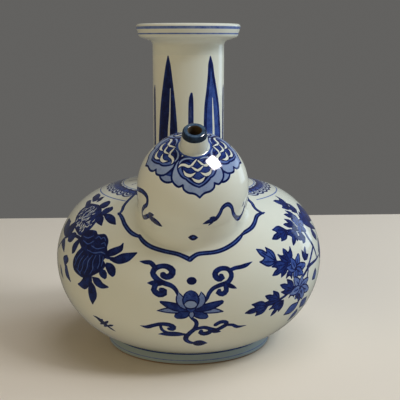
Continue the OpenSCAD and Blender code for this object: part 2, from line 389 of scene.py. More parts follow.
def body_curve(height, inset=0.0):
    """Radius, height and facing of the body's wall, by distance along it from the seam."""
    height = np.asarray(height, float)
    above = height >= 0
    tight, tight_x, flat, flat_z = (np.where(above, u, l) for u, l in zip(UPPER, LOWER))
    meet = tight * ARC_MEET
    far = np.abs(height) > meet
    lean = np.where(far, ARC_MEET + (np.abs(height) - meet) / flat, np.abs(height) / tight)
    side = np.where(above, 1.0, -1.0)
    r = np.where(far, 0, tight_x) + (np.where(far, flat, tight) - inset) * np.cos(lean)
    z = SEAM_Z + np.where(far, flat_z, 0) + side * (np.where(far, flat, tight) - inset) * np.sin(lean)
    return r, z, np.cos(lean), side * np.sin(lean)


def round_axis(turn, r, z, out, up):
    """Points and normals at turns about the upright axis, from a wall's radius, height and facing."""
    across, along = np.sin(turn), -np.cos(turn)
    return np.column_stack([r * across, r * along, z]), np.column_stack([out * across, out * along, up])


def body_surface(flat):
    """Points and normals of the body's outside for flat coordinates in mm."""
    return round_axis(flat[:, 0] / BODY_R, *body_curve(flat[:, 1]))


def spread(counts):
    """For runs of these lengths, laid end to end: the run that each item is in, and its place there."""
    owner = np.repeat(np.arange(len(counts)), counts)
    return owner, np.arange(len(owner)) - np.repeat(np.cumsum(counts) - counts, counts)


def flow(points, step=1.7):
    """A smooth line through given points of place and width."""
    p = np.array(points, float)
    p = np.vstack([2 * p[0] - p[1], p, 2 * p[-1] - p[-2]])
    out = []
    for a, b, c, d in zip(p, p[1:], p[2:], p[3:]):
        count = int(np.hypot(*(c - b)[:2]) / step) + 1
        t = (np.arange(count) / count)[:, None]
        out.append(0.5 * (2 * b + (c - a) * t + (2 * a - 5 * b + 4 * c - d) * t ** 2
                          + (3 * b - a - 3 * c + d) * t ** 3))
    out.append(p[-2:-1])
    line = np.vstack(out)
    return line[:, :2], np.maximum(line[:, 2], 0.0)


class Painting:
    """Brushwork on one surface, kept as toned triangles in that surface's flat coordinates."""

    def __init__(self, unit=1.0, stretch=None):
        self.unit = unit
        self.turn = 0
        self.stretch = stretch or np.ones_like
        self.corners = []
        self.tones = []
        self.covers = []
        self.lines = []

    def stroke(self, points, tone, edge=None, line=0.0):
        """A brush stroke along (place, height, width); line gives it a dark outline of that width."""
        path, width = flow([((x + self.turn) * self.unit, y, w) for x, y, w in points])
        pull = self.stretch(path[:, 1])
        real = np.gradient(path / np.column_stack([pull, np.ones_like(pull)]), axis=0)
        real /= np.maximum(np.linalg.norm(real, axis=1), 1e-9)[:, None]
        rows = np.column_stack([path, width / 2, np.ones(len(path)), real, pull])
        for end, way in ((0, -1), (-1, 1)):
            half = width[end] / 2
            cap = [(half * math.sin(a), half * math.cos(a), 1.0) for a in (0.5, 1.0, 1.35)]
            cap = (cap if half > CAP_LEAST else []) + [(half + BLEED, 0.0, 0.0)]
            onward = way * real[end] * (pull[end], 1)
            cap = [(*(path[end] + reach * onward), h, cover, *real[end], pull[end])
                   for reach, h, cover in cap]
            rows = np.vstack([cap[::-1], rows] if way < 0 else [rows, cap])
        centres, halves, covers = rows[:, :2], rows[:, 2], rows[:, 3]
        sideways = np.column_stack([-rows[:, 5] * rows[:, 6], rows[:, 4]])
        edge = tone if edge is None else edge
        if line:
            section = [(0, BLEED, DARK, 0), (0, 0, DARK, 1), (0, -line, DARK, 1),
                       (0, -line - LINE_SOFT, edge, 1), (-1, 0, tone, 1)]
        else:
            section = [(0, BLEED, edge, 0), (0, 0, edge, 1), (-1, 0, tone, 1)][:2 if edge == tone else 3]
        mirrored = section[-2::-1] if section[-1][0] else section[::-1]
        section = [(1, *s) for s in section] + [(-1, *s) for s in mirrored]
        xy, tones, alphas = [], [], []
        for side, middle, offset, depth, cover in section:
            reach = np.zeros_like(halves) if middle else np.maximum(halves + offset, 0.0)
            xy.append(centres + side * reach[:, None] * sideways)
            tones.append(np.full(len(halves), depth))
            alphas.append(cover * covers)
        self.add_net(np.stack(xy, 1), np.stack(tones, 1), np.stack(alphas, 1))

    def add_net(self, xy, tones, covers):
        """Adds a net of rows and columns of toned points."""
        for pick in (((0, 0), (0, 1), (1, 1)), ((0, 0), (1, 1), (1, 0))):
            take = lambda a: np.stack([a[i:len(a) - 1 + i, j:a.shape[1] - 1 + j] for i, j in pick], 2)
            self.corners.append(take(xy).reshape(-1, 3, 2))
            self.tones.append(take(tones).reshape(-1, 3))
            self.covers.append(take(covers).reshape(-1, 3))
        self.lines.extend(xy[:, j] for j in range(xy.shape[1]))
        self.lines.extend([xy[0], xy[-1]])

    def patch(self, stretches, tone):
        """A filled shape, its outline given as smooth stretches of (place, height) that meet in corners."""
        lines = [flow([((x + self.turn) * self.unit, y, 0) for x, y in stretch])[0]
                 for stretch in stretches]
        xy = np.vstack([line[:-1] for line in lines])
        picks = tessellate_polygon([[Vector((x, y, 0)) for x, y in xy]])
        self.corners.append(xy[np.array(picks)])
        self.tones.append(np.full((len(picks), 3), tone))
        self.covers.append(np.ones((len(picks), 3)))
        self.lines.append(np.vstack([xy, xy[:1]]))

    def depth_at(self, spots, period):
        """Depth of cobalt at each spot, with the strokes laid down in order."""
        cell = 1.0
        corners, tones, covers = map(np.concatenate, (self.corners, self.tones, self.covers))
        shifts = (0.0, -period, period) if period else (0.0,)
        order = np.tile(np.arange(len(corners)), len(shifts))
        corners = np.concatenate([corners + (shift, 0) for shift in shifts])
        low = spots.min(0)
        size = ((spots.max(0) - low) / cell).astype(int) + 1
        first_cell = ((corners.min(1) - low) / cell).astype(int)
        last_cell = ((corners.max(1) - low) / cell).astype(int)
        a, b, c = corners.transpose(1, 0, 2)
        whole = (b[:, 0] - a[:, 0]) * (c[:, 1] - a[:, 1]) - (b[:, 1] - a[:, 1]) * (c[:, 0] - a[:, 0])
        met = (last_cell >= 0).all(1) & (first_cell < size).all(1) & (np.abs(whole) > 1e-9)
        use = np.flatnonzero(met)
        use = use[np.argsort(order[use], kind="stable")]
        home = ((spots - low) / cell).astype(int) @ (1, size[0])
        sorted_spots = np.argsort(home, kind="stable")
        begins = np.searchsorted(home[sorted_spots], np.arange(size[0] * size[1] + 1))
        depth = np.zeros(len(spots))
        for part in np.array_split(use, len(use) // 8000 + 1):
            low_cell = np.maximum(first_cell[part], 0)
            high_cell = np.minimum(last_cell[part], size - 1)
            owner, row = spread(high_cell[:, 1] - low_cell[:, 1] + 1)
            row = (row + low_cell[owner, 1]) * size[0]
            begin = begins[row + low_cell[owner, 0]]
            pick, step = spread(begins[row + high_cell[owner, 0] + 1] - begin)
            tri = part[owner[pick]]
            spot = sorted_spots[begin[pick] + step]
            dx, dy = (spots[spot] - a[tri]).T
            v = (dx * (c[tri, 1] - a[tri, 1]) - dy * (c[tri, 0] - a[tri, 0])) / whole[tri]
            w = (dy * (b[tri, 0] - a[tri, 0]) - dx * (b[tri, 1] - a[tri, 1])) / whole[tri]
            hit = np.flatnonzero((v >= 0) & (w >= 0) & (v + w <= 1))
            hit = hit[np.argsort(spot[hit], kind="stable")]
            spot, paint, v, w = spot[hit], order[tri[hit]], v[hit], w[hit]
            shares = np.column_stack([1 - v - w, v, w])
            cover = (shares * covers[paint]).sum(1)
            tone = (shares * tones[paint]).sum(1)
            turn = np.arange(len(spot)) - np.searchsorted(spot, spot)
            for layer in range(turn.max(initial=-1) + 1):
                now = turn == layer
                depth[spot[now]] += cover[now] * (tone[now] - depth[spot[now]])
        return depth


def painted_sheet(shell, painting, surface, fences, grid, inside, turn_of, period=0.0):
    """Lays a painted surface into a shell; gives back its edge loops as (turn, point), lowest first."""
    spots, edges = [], []
    shifts = (0.0, -period, period) if period else (0.0,)
    lines = fences + [line + (shift, 0) for line in painting.lines for shift in shifts]
    for line in lines:
        if inside(line).any():
            edges.extend((len(spots) + i, len(spots) + i + 1) for i in range(len(line) - 1))
            spots.extend(line)
    spots.extend(grid)
    flat, _, tris, *_ = delaunay_2d_cdt([Vector(s) for s in spots], edges, [], 0, 1e-5, False)
    flat, tris = np.array(flat), np.array(tris)
    tris = tris[inside(flat[tris].mean(1))]
    p, q, r = (flat[tris[:, k]] for k in range(3))
    area = (q[:, 0] - p[:, 0]) * (r[:, 1] - p[:, 1]) - (q[:, 1] - p[:, 1]) * (r[:, 0] - p[:, 0])
    tris = np.where((area < 0)[:, None], tris[:, ::-1], tris)
    centre = flat[tris].mean(1, keepdims=True)
    just_inside = flat[tris] * (1 - CORNER_INSET) + centre * CORNER_INSET
    tones = painting.depth_at(just_inside.reshape(-1, 2), period).reshape(-1, 3)
    points, normals = surface(flat)
    if period:
        left = np.flatnonzero(np.abs(flat[:, 0] - fences[0][0, 0]) < 1e-4)
        right = np.flatnonzero(np.abs(flat[:, 0] - fences[0][0, 0] - period) < 1e-4)
        weld = np.arange(len(flat))
        for k in right:
            weld[k] = left[np.argmin(np.abs(flat[left, 1] - flat[k, 1]))]
        tris = weld[tris]
    used, where = np.unique(tris, return_inverse=True)
    where = where.reshape(tris.shape)
    made = np.array(shell.add_points(points[used]))
    for corners, flat_corners, tone in zip(made[where], tris, tones):
        shell.add_face(corners.tolist(), normals[flat_corners], tone)
    ways = np.vstack([where[:, [0, 1]], where[:, [1, 2]], where[:, [2, 0]]])
    pairs = set(map(tuple, ways.tolist()))
    step = dict(pair for pair in pairs if pair[::-1] not in pairs)
    loops = []
    while step:
        loop = [next(iter(step))]
        while loop[-1] in step:
            loop.append(step.pop(loop[-1]))
        loops.append([(turn_of(flat[used[k]]), int(made[k])) for k in loop[:-1]])
    rims = sorted(loops, key=len)[-2:]
    return sorted(rims, key=lambda loop: np.mean([shell.points[k][2] for _, k in loop]))


def turned_sheet(shell, painting, surface, wrap, low, high):
    """A painted sheet that goes right round a turned piece, and meets itself at one turn in degrees."""
    x = np.linspace(wrap - 360, wrap, 181) * painting.unit
    y = np.linspace(low, high, int((high - low) / 3) + 2)
    sides = [np.column_stack([np.full(len(y), end), y]) for end in (x[0], x[-1])]
    ends = [np.column_stack([x, np.full(len(x), v)]) for v in (low, high)]
    grid = np.array([(a, b) for a in x[1:-1] for b in y[1:-1]])

    def inside(p):
        return ((p >= (x[0] - 1e-6, low - 1e-6)) & (p <= (x[-1] + 1e-6, high + 1e-6))).all(1)

    return painted_sheet(shell, painting, surface, sides + ends, grid, inside,
                         lambda p: p[0] / painting.unit % 360, 360 * painting.unit)


def body_sheet(shell, low, high):
    """The painted outside of the body between two heights along its wall."""
    return turned_sheet(shell, body_painting, body_surface, BODY_WRAP, low, high)


def leaf(painting, base, tip, width, tone=DARK, edge=None, bend=0.0, line=0.0, blunt=0.0):
    """A leaf or petal drawn in one press of the brush, bent sideways by a share of its length."""
    base, tip = np.array(base, float), np.array(tip, float)
    side = np.array([-(tip - base)[1] / painting.unit, (tip - base)[0] * painting.unit])
    shares = ((0.0, 0.3), (0.22, 0.82), (0.5, 1.0), (0.78, 0.66 + 0.25 * blunt), (1.0, 0.7 * blunt))
    spots = [(*(base + (tip - base) * t + side * bend * 4 * t * (1 - t)), width * w) for t, w in shares]
    painting.stroke(spots, tone, edge, line)


def blade(painting, out, back, tone=0.88):
    """A leaf with a dark rim, from its stalk out to its tip along one edge and back along the other."""
    edges = [out, [out[-1], *back, out[0]]]
    painting.patch(edges, tone)
    for edge in edges:
        painting.stroke([(x, y, RIM_LINE) for x, y in edge], DARK)


def cut_leaf(painting, base, tips, tone=DEEP):
    """A leaf of pointed lobes that grow from one stalk, with a dark rim and ribs."""
    scale = np.array([painting.unit, 1.0])
    base = np.array(base, float) * scale
    tips = np.array(tips, float) * scale
    heart = (base + tips.sum(0)) / (len(tips) + 1)
    corners = [base]
    for this, after in zip(tips, tips[1:]):
        corners += [this, ((this + after) / 2) * 0.66 + base * 0.34]
    corners += [tips[-1], base]
    edges = []
    for a, b in zip(corners, corners[1:]):
        swell = 0.2 if a is base or b is base else 0.1
        side = np.array([a[1] - b[1], b[0] - a[0]])
        side *= np.sign(side @ ((a + b) / 2 - heart))
        edges.append([tuple(p / scale) for p in (a, (a + b) / 2 + side * swell, b)])
    painting.patch(edges, tone)
    for edge in edges:
        painting.stroke([(x, y, LINE_W) for x, y in edge], DARK)
    for tip in tips:
        painting.stroke([(*(base * (1 - t) + tip * t) / scale, 0.45 - 0.3 * t) for t in (0.1, 0.4, 0.75)],
                        DARK)


def dot(painting, centre, width, height, tone=DARK):
    """A dab of the brush, wider than it is high."""
    shares = (-1, -0.93, -0.7, -0.36, 0, 0.36, 0.7, 0.93, 1)
    painting.stroke([(centre[0] + t * width / 2 / painting.unit, centre[1], height * math.sqrt(1 - t * t))
                     for t in shares], tone)


def blossom(painting, centre, tips, width, tone=SOFT):
    """An open flower: outlined petals with a dark streak each, round a dotted heart."""
    centre = np.array(centre, float)
    for tip in tips:
        leaf(painting, centre, tip, width, tone, tone, line=RIM_LINE, blunt=0.75)
        way = np.array(tip) - centre
        painting.stroke([(*(centre + way * 0.3), 0.9), (*(centre + way * 0.72), 0.2)], DEEP)
    dot(painting, centre, width * 0.42, width * 0.36)


def lotus_scroll(paint):
    """The lotus on its winding stem, with curling tendrils to both sides.

    Places on the body are turns in degrees from the spout and heights in mm along the wall from the seam.
    """
    press = lambda points, *tones, **more: paint.stroke(
        [(a, v, w * LOTUS_PRESS) for a, v, w in points], *tones, **more)
    curl = lambda points: press(points, DEEP, DARK)
    dot(paint, (-1.2, 6.2), 5.6, 4.1)
    # Upper tendrils
    curl([(-6.2, -2, 1.4), (-7.2, 1.2, 1.8), (-9, 3.5, 2.1), (-12.2, 5, 2.4), (-14.5, 7, 2.7),
          (-16, 10, 2.8), (-15, 12.8, 2.5), (-12.5, 14.2, 2.2), (-10.2, 13.8, 2.6), (-8.5, 11.8, 3.3),
          (-9, 9.2, 3.1), (-10.8, 8.2, 2.7), (-12, 9.2, 3.0)])
    curl([(-15, 12.6, 1.8), (-15.8, 14, 2.2), (-17.2, 15.7, 2.1), (-19.5, 15.8, 1.6), (-21.6, 16, 0.0)])
    leaf(paint, (-11.5, 4.6), (-18, 4.2), 3.2, DARK)
    curl([(-14.6, 3.6, 2.2), (-15.5, 0.5, 2.9), (-13.5, -2, 2.9), (-11.4, -1.2, 2.7), (-11.3, 0.4, 2.3),
          (-12.8, 0.8, 2.0)])
    curl([(3.6, -6.4, 1.0), (4.6, -4, 1.5), (5.2, -1.5, 1.7), (6.8, 1.5, 1.8), (9.5, 3.2, 2),
          (12.5, 4.5, 2.2), (14, 7.5, 2.3), (13.8, 10.2, 2.2), (12.5, 12.2, 2.1), (10, 12.5, 2.2),
          (8, 10.8, 2.6), (7.8, 8.5, 2.8), (9, 6.7, 2.5), (10.5, 7.1, 2.4), (10, 8.3, 2.4)])
    curl([(13.5, 11.2, 1.5), (15.8, 12.2, 1.7), (18.2, 12.5, 1.8), (20.5, 13.2, 1.7), (23.2, 14.6, 0.0)])
    leaf(paint, (11, 4.2), (16, 0.6), 2.3, DARK)
    curl([(11.6, 3.2, 2.0), (11.9, -0.2, 2.5), (10.5, -2, 2.5), (8.7, -1, 2.3), (9.2, 0.1, 1.8)])
    # Flower
    for base, tip, width, tone, bend, blunt in (
            ((-2.2, -12), (-14.6, -12.2), 3.9, PETAL, -0.03, 0.0),
            ((0, -11.9), (10.9, -13), 3.9, PETAL, 0.04, 0.2),
            ((-2, -11.8), (-6.6, -15.2), 5.4, DEEP - 0.06, 0.06, 1.0),
            ((-0.8, -11.8), (4.0, -15.6), 5.2, DEEP - 0.06, -0.06, 1.0),
            ((-1.2, -12), (-1.2, -16.2), 3.6, PETAL, 0.0, 0.8),
            ((-1.5, -11.2), (-12.8, -6.6), 5.0, DEEP, 0.03, 0.4),
            ((-0.5, -11.2), (10.2, -6.9), 4.8, DEEP, -0.03, 0.7),
            ((-3.6, -10.2), (-6.1, -0.2), 5.4, PETAL, 0.07, 0.0),
            ((0.8, -9.8), (2.3, -0.1), 5.2, PETAL, -0.14, 0.0)):
        leaf(paint, base, tip, width, tone, None, bend, LINE_W, blunt)
    press([(-1.5, -9.6, 5.4), (-1.5, -7, 8.0), (-1.5, -4.2, 8.6), (-1.5, -3.6, 7.8)], MID + 0.06,
          line=LINE_W)
    press([(-2.0, -7.7, 5.2), (-1.1, -7.7, 5.2)], PALE, line=LINE_W + 0.15)
    # Stem and lower tendrils
    curl([(-1, -17, 1.3), (0.2, -18.4, 1.8), (0.8, -20.8, 1.9), (0, -24.8, 2.1), (-1.8, -28, 2.3),
          (-3.5, -31.8, 2.5), (-3.5, -35.2, 2.4), (-1.8, -37.8, 2.3), (0.5, -38.8, 2.2)])
    leaf(paint, (-0.6, -38.6), (5.6, -39.2), 6.6, DARK, blunt=0.3)
    curl([(-22.6, -24.3, 0.0), (-19.8, -24.8, 2.0), (-16.8, -23, 2.0), (-13.5, -21.5, 2.1),
          (-10.2, -21.8, 2.6), (-8.5, -23.5, 2.7), (-9.2, -25.3, 2.4), (-10.5, -24.9, 1.7)])
    curl([(-13.8, -22.6, 1.2), (-13.5, -25.8, 1.6), (-11.8, -28, 1.7), (-8, -28.8, 1.7), (-4, -29.6, 1.6)])
    leaf(paint, (-4, -29.5), (-15.4, -30.2), 4.0, DEEP, DARK, bend=-0.03)
    curl([(-1.5, -27, 1.4), (0.8, -24.8, 1.8), (3.8, -23.8, 2.0), (6.2, -25, 2.2), (9, -26.3, 2.2),
          (11.5, -24.4, 2.3), (13.2, -22.2, 2.2), (12.2, -20.5, 2.1), (10.2, -20.5, 2.1),
          (8.5, -22.2, 2.0)])
    curl([(12.8, -23, 1.3), (15.8, -23.5, 1.6), (18.2, -25.6, 1.7), (22.2, -25.5, 0.0)])
    curl([(6.8, -26, 2.2), (6.2, -28.2, 2.8), (4.2, -29.2, 3.0), (2.6, -28, 2.6), (2.8, -26.6, 1.8)])
    leaf(paint, (6.4, -27), (11.2, -28.2), 2.8, DARK)


def peony_spray(paint):
    """A dark peony and a feathered flower among dark leaves."""
    brush = paint.stroke
    # Stems
    brush([(-52, 20, 1.6), (-57, 22.6, 1.8), (-64, 22, 1.6), (-72, 17, 1.2), (-78, 9, 0.8)], DARK)
    brush([(-54, 36, 1.4), (-51, 40.2, 1.5), (-48, 41, 1.0)], DARK)
    brush([(-40, 16.6, 1.6), (-36, 15.6, 1.3), (-33, 16, 0.8)], DARK)
    # Leaves round the feathered flower, and paler ones where the glaze lies thick
    for out, back in (
            ([(-58.5, 43.5), (-59, 48), (-56.5, 51.5), (-54, 51)], [(-52.6, 49), (-53.4, 46)]),
            ([(-51.8, 40), (-52, 44.8), (-48.5, 47.8)], [(-46.6, 46), (-48, 42.5)]),
            ([(-49, 41), (-45.5, 42), (-41, 40.2), (-38.3, 36.2)], [(-42, 36.6), (-46.2, 38.8)]),
            ([(-50, 39.8), (-47.5, 38), (-46, 33.8)], [(-51, 35.4), (-51.8, 38)]),
            ([(-70, 47), (-78.2, 49.8), (-78.8, 53)], [(-72.5, 52.8), (-67.5, 49.2)]),
            ([(-65.5, 48), (-68.2, 51.5), (-66, 53.5)], [(-64, 50.2)]),
            ([(-71.8, 41.8), (-77, 44.8), (-74, 46.6)], [(-69.2, 43.8)]),
            ([(-74, 28.2), (-81, 27.8), (-80, 22), (-72, 19.2)], [(-71, 22), (-72.6, 26)]),
            ([(-68, 30), (-72, 24.8), (-71, 19)], [(-66, 21.5), (-65, 28)]),
            ([(-62.5, 24.2), (-66.8, 21.2), (-66, 18)], [(-62.5, 18.5), (-60.2, 23.2)]),
            ([(-72.5, 17), (-73.5, 14), (-67, 10.5)], [(-68, 14), (-70, 17.2)]),
            ([(-56.2, 22.4), (-59.5, 17), (-58.6, 12.5)], [(-56.8, 14), (-55.4, 21)])):
        blade(paint, out, back)
    for out, back in (
            ([(-63, 9.4), (-66.5, 7), (-64.2, 2.8)], [(-61, 7)]),
            ([(-64, 3.4), (-63.4, -2.6), (-59, -5.4)], [(-60.4, -1), (-62, 3)]),
            ([(-70.4, 0.6), (-70.4, -4), (-68, -6.8)], [(-68.8, -2)])):
        blade(paint, out, back, DEEP)
    # Feathered flower, flecked with white
    right = [(-69.2, 44.8), (-60, 46), (-54, 43.5), (-51.6, 40), (-51, 34.5), (-52.5, 28.8), (-55.6, 24.6)]
    left = [(-58.5, 24.6), (-65.5, 27.8), (-70.5, 32.5), (-72.5, 37), (-71, 41.8)]
    blade(paint, right, left)
    chance = random.Random(11)
    for _ in range(FLECKS):
        reach, way = math.sqrt(chance.random()), chance.uniform(0, 2 * math.pi)
        a = FEATHERS[0] + FEATHERS_R * reach * math.cos(way)
        v = FEATHERS[1] + FEATHERS_R * reach * math.sin(way) - FEATHERS_SLANT * reach * math.cos(way)
        lean, length = math.radians(chance.gauss(65, 30)), chance.uniform(0.7, 1.5)
        da, dv = length * math.cos(lean) / DEGREE, length * math.sin(lean)
        brush([(a - da, v - dv, 0.2), (a + 0.25 * dv, v - 0.2 * da, 0.55), (a + da, v + dv, 0.2)],
              FLECK_TONE)
    # Peony, with pale veins left between its petals
    right = [(-55.6, 24.6), (-52.2, 28.4), (-47.5, 29.2), (-45.4, 27.4), (-41.4, 28.4), (-38.4, 25.2),
             (-38, 21.2), (-36.8, 17), (-38.4, 13.8), (-36.9, 11.2), (-38.5, 8), (-41, 5.6), (-43.8, 3.2)]
    left = [(-47.5, 1), (-51, 1.2), (-55.4, 3.6), (-56.4, 8.8), (-54.6, 14), (-52.6, 17.5), (-55.4, 20.8)]
    blade(paint, right, left, DARK)
    for vein in (
            [(-44.5, 15), (-46.4, 11), (-46.6, 7), (-48, 3.4)],
            [(-42.6, 15.6), (-43.6, 11), (-43.2, 7.4), (-44.6, 4)],
            [(-40.6, 16), (-39.9, 12), (-40.6, 8.4)], [(-38.6, 15.6), (-38.4, 13), (-38.8, 10)],
            [(-47, 14), (-49.2, 10), (-49.4, 6.4), (-50.8, 3)], [(-49.6, 13.6), (-51.6, 9.4), (-52.6, 4.6)],
            [(-51, 16), (-53.4, 11.6), (-54.8, 7.4)], [(-46.6, 20.4), (-43, 19.4), (-39.2, 21)],
            [(-48.4, 17.4), (-44, 16.6), (-40.4, 18), (-38, 17.4)], [(-53, 22), (-49, 20.8), (-46.2, 23.4)],
            [(-54, 24.4), (-50.4, 24.2), (-47.6, 26.4)], [(-45.6, 25), (-44.2, 26.8), (-42.4, 25.4)],
            [(-42.6, 25.6), (-41, 26.8), (-39.6, 25)], [(-41.4, 22.6), (-39.8, 23.8), (-38.9, 22)],
            [(-55.2, 10.4), (-54.4, 8.4), (-55.4, 6)], [(-53.8, 4.6), (-52, 3.6), (-50.6, 2.2)]):
        widths = [VEIN_END] + [VEIN_W] * (len(vein) - 2) + [VEIN_END]
        brush([(a, v, w) for (a, v), w in zip(vein, widths)], SOFT + 0.1)
    # Leaves round the peony
    for out, back in (
            ([(-37, 16.4), (-36.8, 19.2), (-34.2, 21.5), (-31.5, 23.2), (-30.5, 25)],
             [(-30.2, 21.5), (-31.5, 19.6), (-33.5, 17.8), (-35.8, 16.8)]),
            ([(-34.8, 14.8), (-32, 17), (-29.6, 18.9), (-26.2, 19.9), (-23.5, 20.5)],
             [(-25, 17.8), (-26.8, 15.4), (-30, 13.6), (-32.5, 13.8)]),
            ([(-36.2, 12.4), (-33.8, 12.2), (-32, 10), (-32, 6.8), (-33, 5.6)],
             [(-34.6, 6.8), (-35.6, 8.6), (-36.6, 10.8)]),
            ([(-38.4, 7.8), (-36.8, 8), (-36, 6.8), (-35.9, 4.2), (-36.6, 3.4)],
             [(-38.6, 4.4), (-39.4, 6.4)]),
            ([(-43.8, 2.6), (-47.5, 1.2), (-50.6, -3), (-52.6, -4.8)], [(-48.5, -6.2), (-45.4, -3)]),
            ([(-43, 2.4), (-39.5, 2.4), (-37.8, 0.2), (-35, -1.3)], [(-38.5, -2.6), (-41.8, -1)]),
            ([(-43.8, -0.6), (-41.9, -3.5), (-41.7, -9), (-45, -15)], [(-45.9, -11), (-45.6, -5.2)])):
        blade(paint, out, back)
    brush([(-44, 3.2, 1.2), (-43.8, 0, 1.2)], DARK)
    # Small sprig below
    for base, tip, width in (
            ((-46, -25.2), (-40, -31.8), 4.2), ((-45, -26), (-47.8, -24.8), 1.2),
            ((-43.6, -27.4), (-42, -25.2), 1.3), ((-42, -29), (-38.8, -25.6), 1.5),
            ((-43, -29), (-45.8, -31.2), 1.2), ((-41.6, -30.6), (-44.2, -32.6), 1.2),
            ((-41.4, -30.6), (-37.8, -34.4), 1.8), ((-40.6, -30.4), (-36.8, -28.2), 1.3)):
        leaf(paint, base, tip, width, DARK)


def aster_spray(paint):
    """Branches of three-lobed leaves and pale open flowers."""
    brush = paint.stroke
    # Stems
    brush([(34.6, 12.4, 0.9), (37.5, 11.2, 1.1), (41, 9.4, 1.2), (44.5, 6, 1.0)], DEEP)
    brush([(70, 5, 1.0), (64, 4, 1.4), (60, 3.8, 1.6), (55.8, 3, 1.8), (51.2, -0.8, 1.7), (46.5, -4.6, 1.4),
           (40.8, -9, 1.5), (36, -11.6, 1.4), (30.6, -13.6, 0.9)], DEEP, DARK)
    brush([(54.4, 3.4, 1.2), (56.5, 5.2, 1.5), (59.5, 9, 1.7), (63.4, 13, 1.6)], DEEP)
    brush([(66.5, 38, 1.0), (63, 30.6, 1.4), (60, 25.5, 1.9), (60.8, 20, 2.2), (63.4, 14, 2.0),
           (66, 6, 1.4)], DEEP, DARK)
    brush([(46.5, 28.6, 0.9), (53, 27, 1.1), (59, 24.6, 1.2)], DARK)
    brush([(51, -18.6, 0.9), (53.4, -12, 1.2), (54.4, -4, 1.3), (55.4, 2.6, 1.2)], DEEP)
    # Leaves
    for base, tips, tone in (
            ((64, 43), ((64.8, 53), (55.5, 50), (56, 43.2)), DEEP),
            ((68.2, 38), ((65, 44.6), (60, 41.5), (61.5, 38.6)), DEEP),
            ((60.8, 33), ((56, 40.6), (52.4, 38.5), (55.5, 33.4)), DEEP),
            ((55.2, 28.2), ((49.8, 35.6), (46.8, 32.5), (51.2, 28)), DEEP),
            ((46.5, 28.8), ((38, 31), (35.8, 25.6), (40.5, 23.4)), DEEP),
            ((52.8, 26), ((45, 26.2), (46.8, 19.2), (50.8, 20.8)), DEEP),
            ((58.2, 20.6), ((53.8, 25.2), (51.2, 22), (54.6, 18.2)), DEEP),
            ((34.8, 12.3), ((30.8, 21.4), (26.3, 21.2), (26.7, 13.8)), MID),
            ((42.2, 9.8), ((44.2, 18.6), (39.8, 18.6), (36.2, 16)), DEEP),
            ((40.6, 9.4), ((32.2, 9.8), (32.2, 4.9), (36.6, 2.8)), DEEP),
            ((42, 5.6), ((39.4, 1.4), (42.6, 0.2)), DEEP),
            ((44.6, -7.6), ((39.8, 0.2), (36.2, -2), (37, -6.6)), DEEP),
            ((36.4, -11.2), ((32.6, -4.8), (28.9, -6.8), (28.5, -11.2)), DEEP),
            ((30.8, -13.6), ((23, -10.8), (20.6, -15.9), (25.6, -19)), DEEP),
            ((39, -12.6), ((32, -16.6), (34, -21.8), (37.8, -20)), DEEP),
            ((45.6, -7.6), ((42.2, -12), (45.4, -12.6)), DEEP),
            ((52.4, 8.2), ((51.8, 14.2), (55, 15.4), (56.4, 10.4)), DEEP),
            ((71, 7.6), ((80, 12.6), (82, 5.6), (77, 1)), MID)):
        cut_leaf(paint, base, tips, tone)
    for out, back, tone in (
            ([(68.2, 33.2), (78.8, 39.5), (88, 30.5)], [(86, 25.2), (71, 27.5)], DEEP),
            ([(68.5, 35.8), (74.2, 25.5), (80, 19)], [(69.5, 23.5), (63, 30.2)], DEEP),
            ([(69.5, 23.5), (74, 16.8), (71.5, 14.2)], [(67.8, 19)], DEEP),
            ([(51.2, -18.6), (45.5, -18.8), (42.8, -24.6)], [(48, -25.4), (50.8, -22.4)], MID),
            ([(53.4, -25), (51, -28.4), (51, -33.6)], [(55, -32), (55.6, -28.6)], MID),
            ([(59.5, -18.6), (54.4, -19), (55.4, -24.6)], [(61.5, -25)], MID),
            ([(63.6, -1.2), (65.4, -4), (64.8, -8)], [(60.8, -7), (61.8, -3.4)], MID)):
        blade(paint, out, back, tone)
    # Flowers
    for centre, tips, width, tone in (
            ((45.3, 5), ((48.3, 12), (52, 5.4), (49.8, 1), (45.2, -1), (40.8, 7), (43.4, 11)), 5.4,
             SOFT + 0.1),
            ((49.4, -8), ((44.8, -1), (49.8, -2.2), (54.8, -4.8), (57.4, -12.6), (53.6, -16), (47.6, -13.6),
                          (43.4, -9.6)), 6.0, SOFT),
            ((58.6, 29), ((55.6, 33.4), (60.4, 34.6), (63.8, 30), (61.4, 24.6), (56, 25)), 5.0, MID)):
        blossom(paint, centre, tips, width, tone)
    brush([(47.4, -12, 2.2), (50, -14.6, 3.4), (50.6, -17.8, 1.0)], DEEP, DARK)


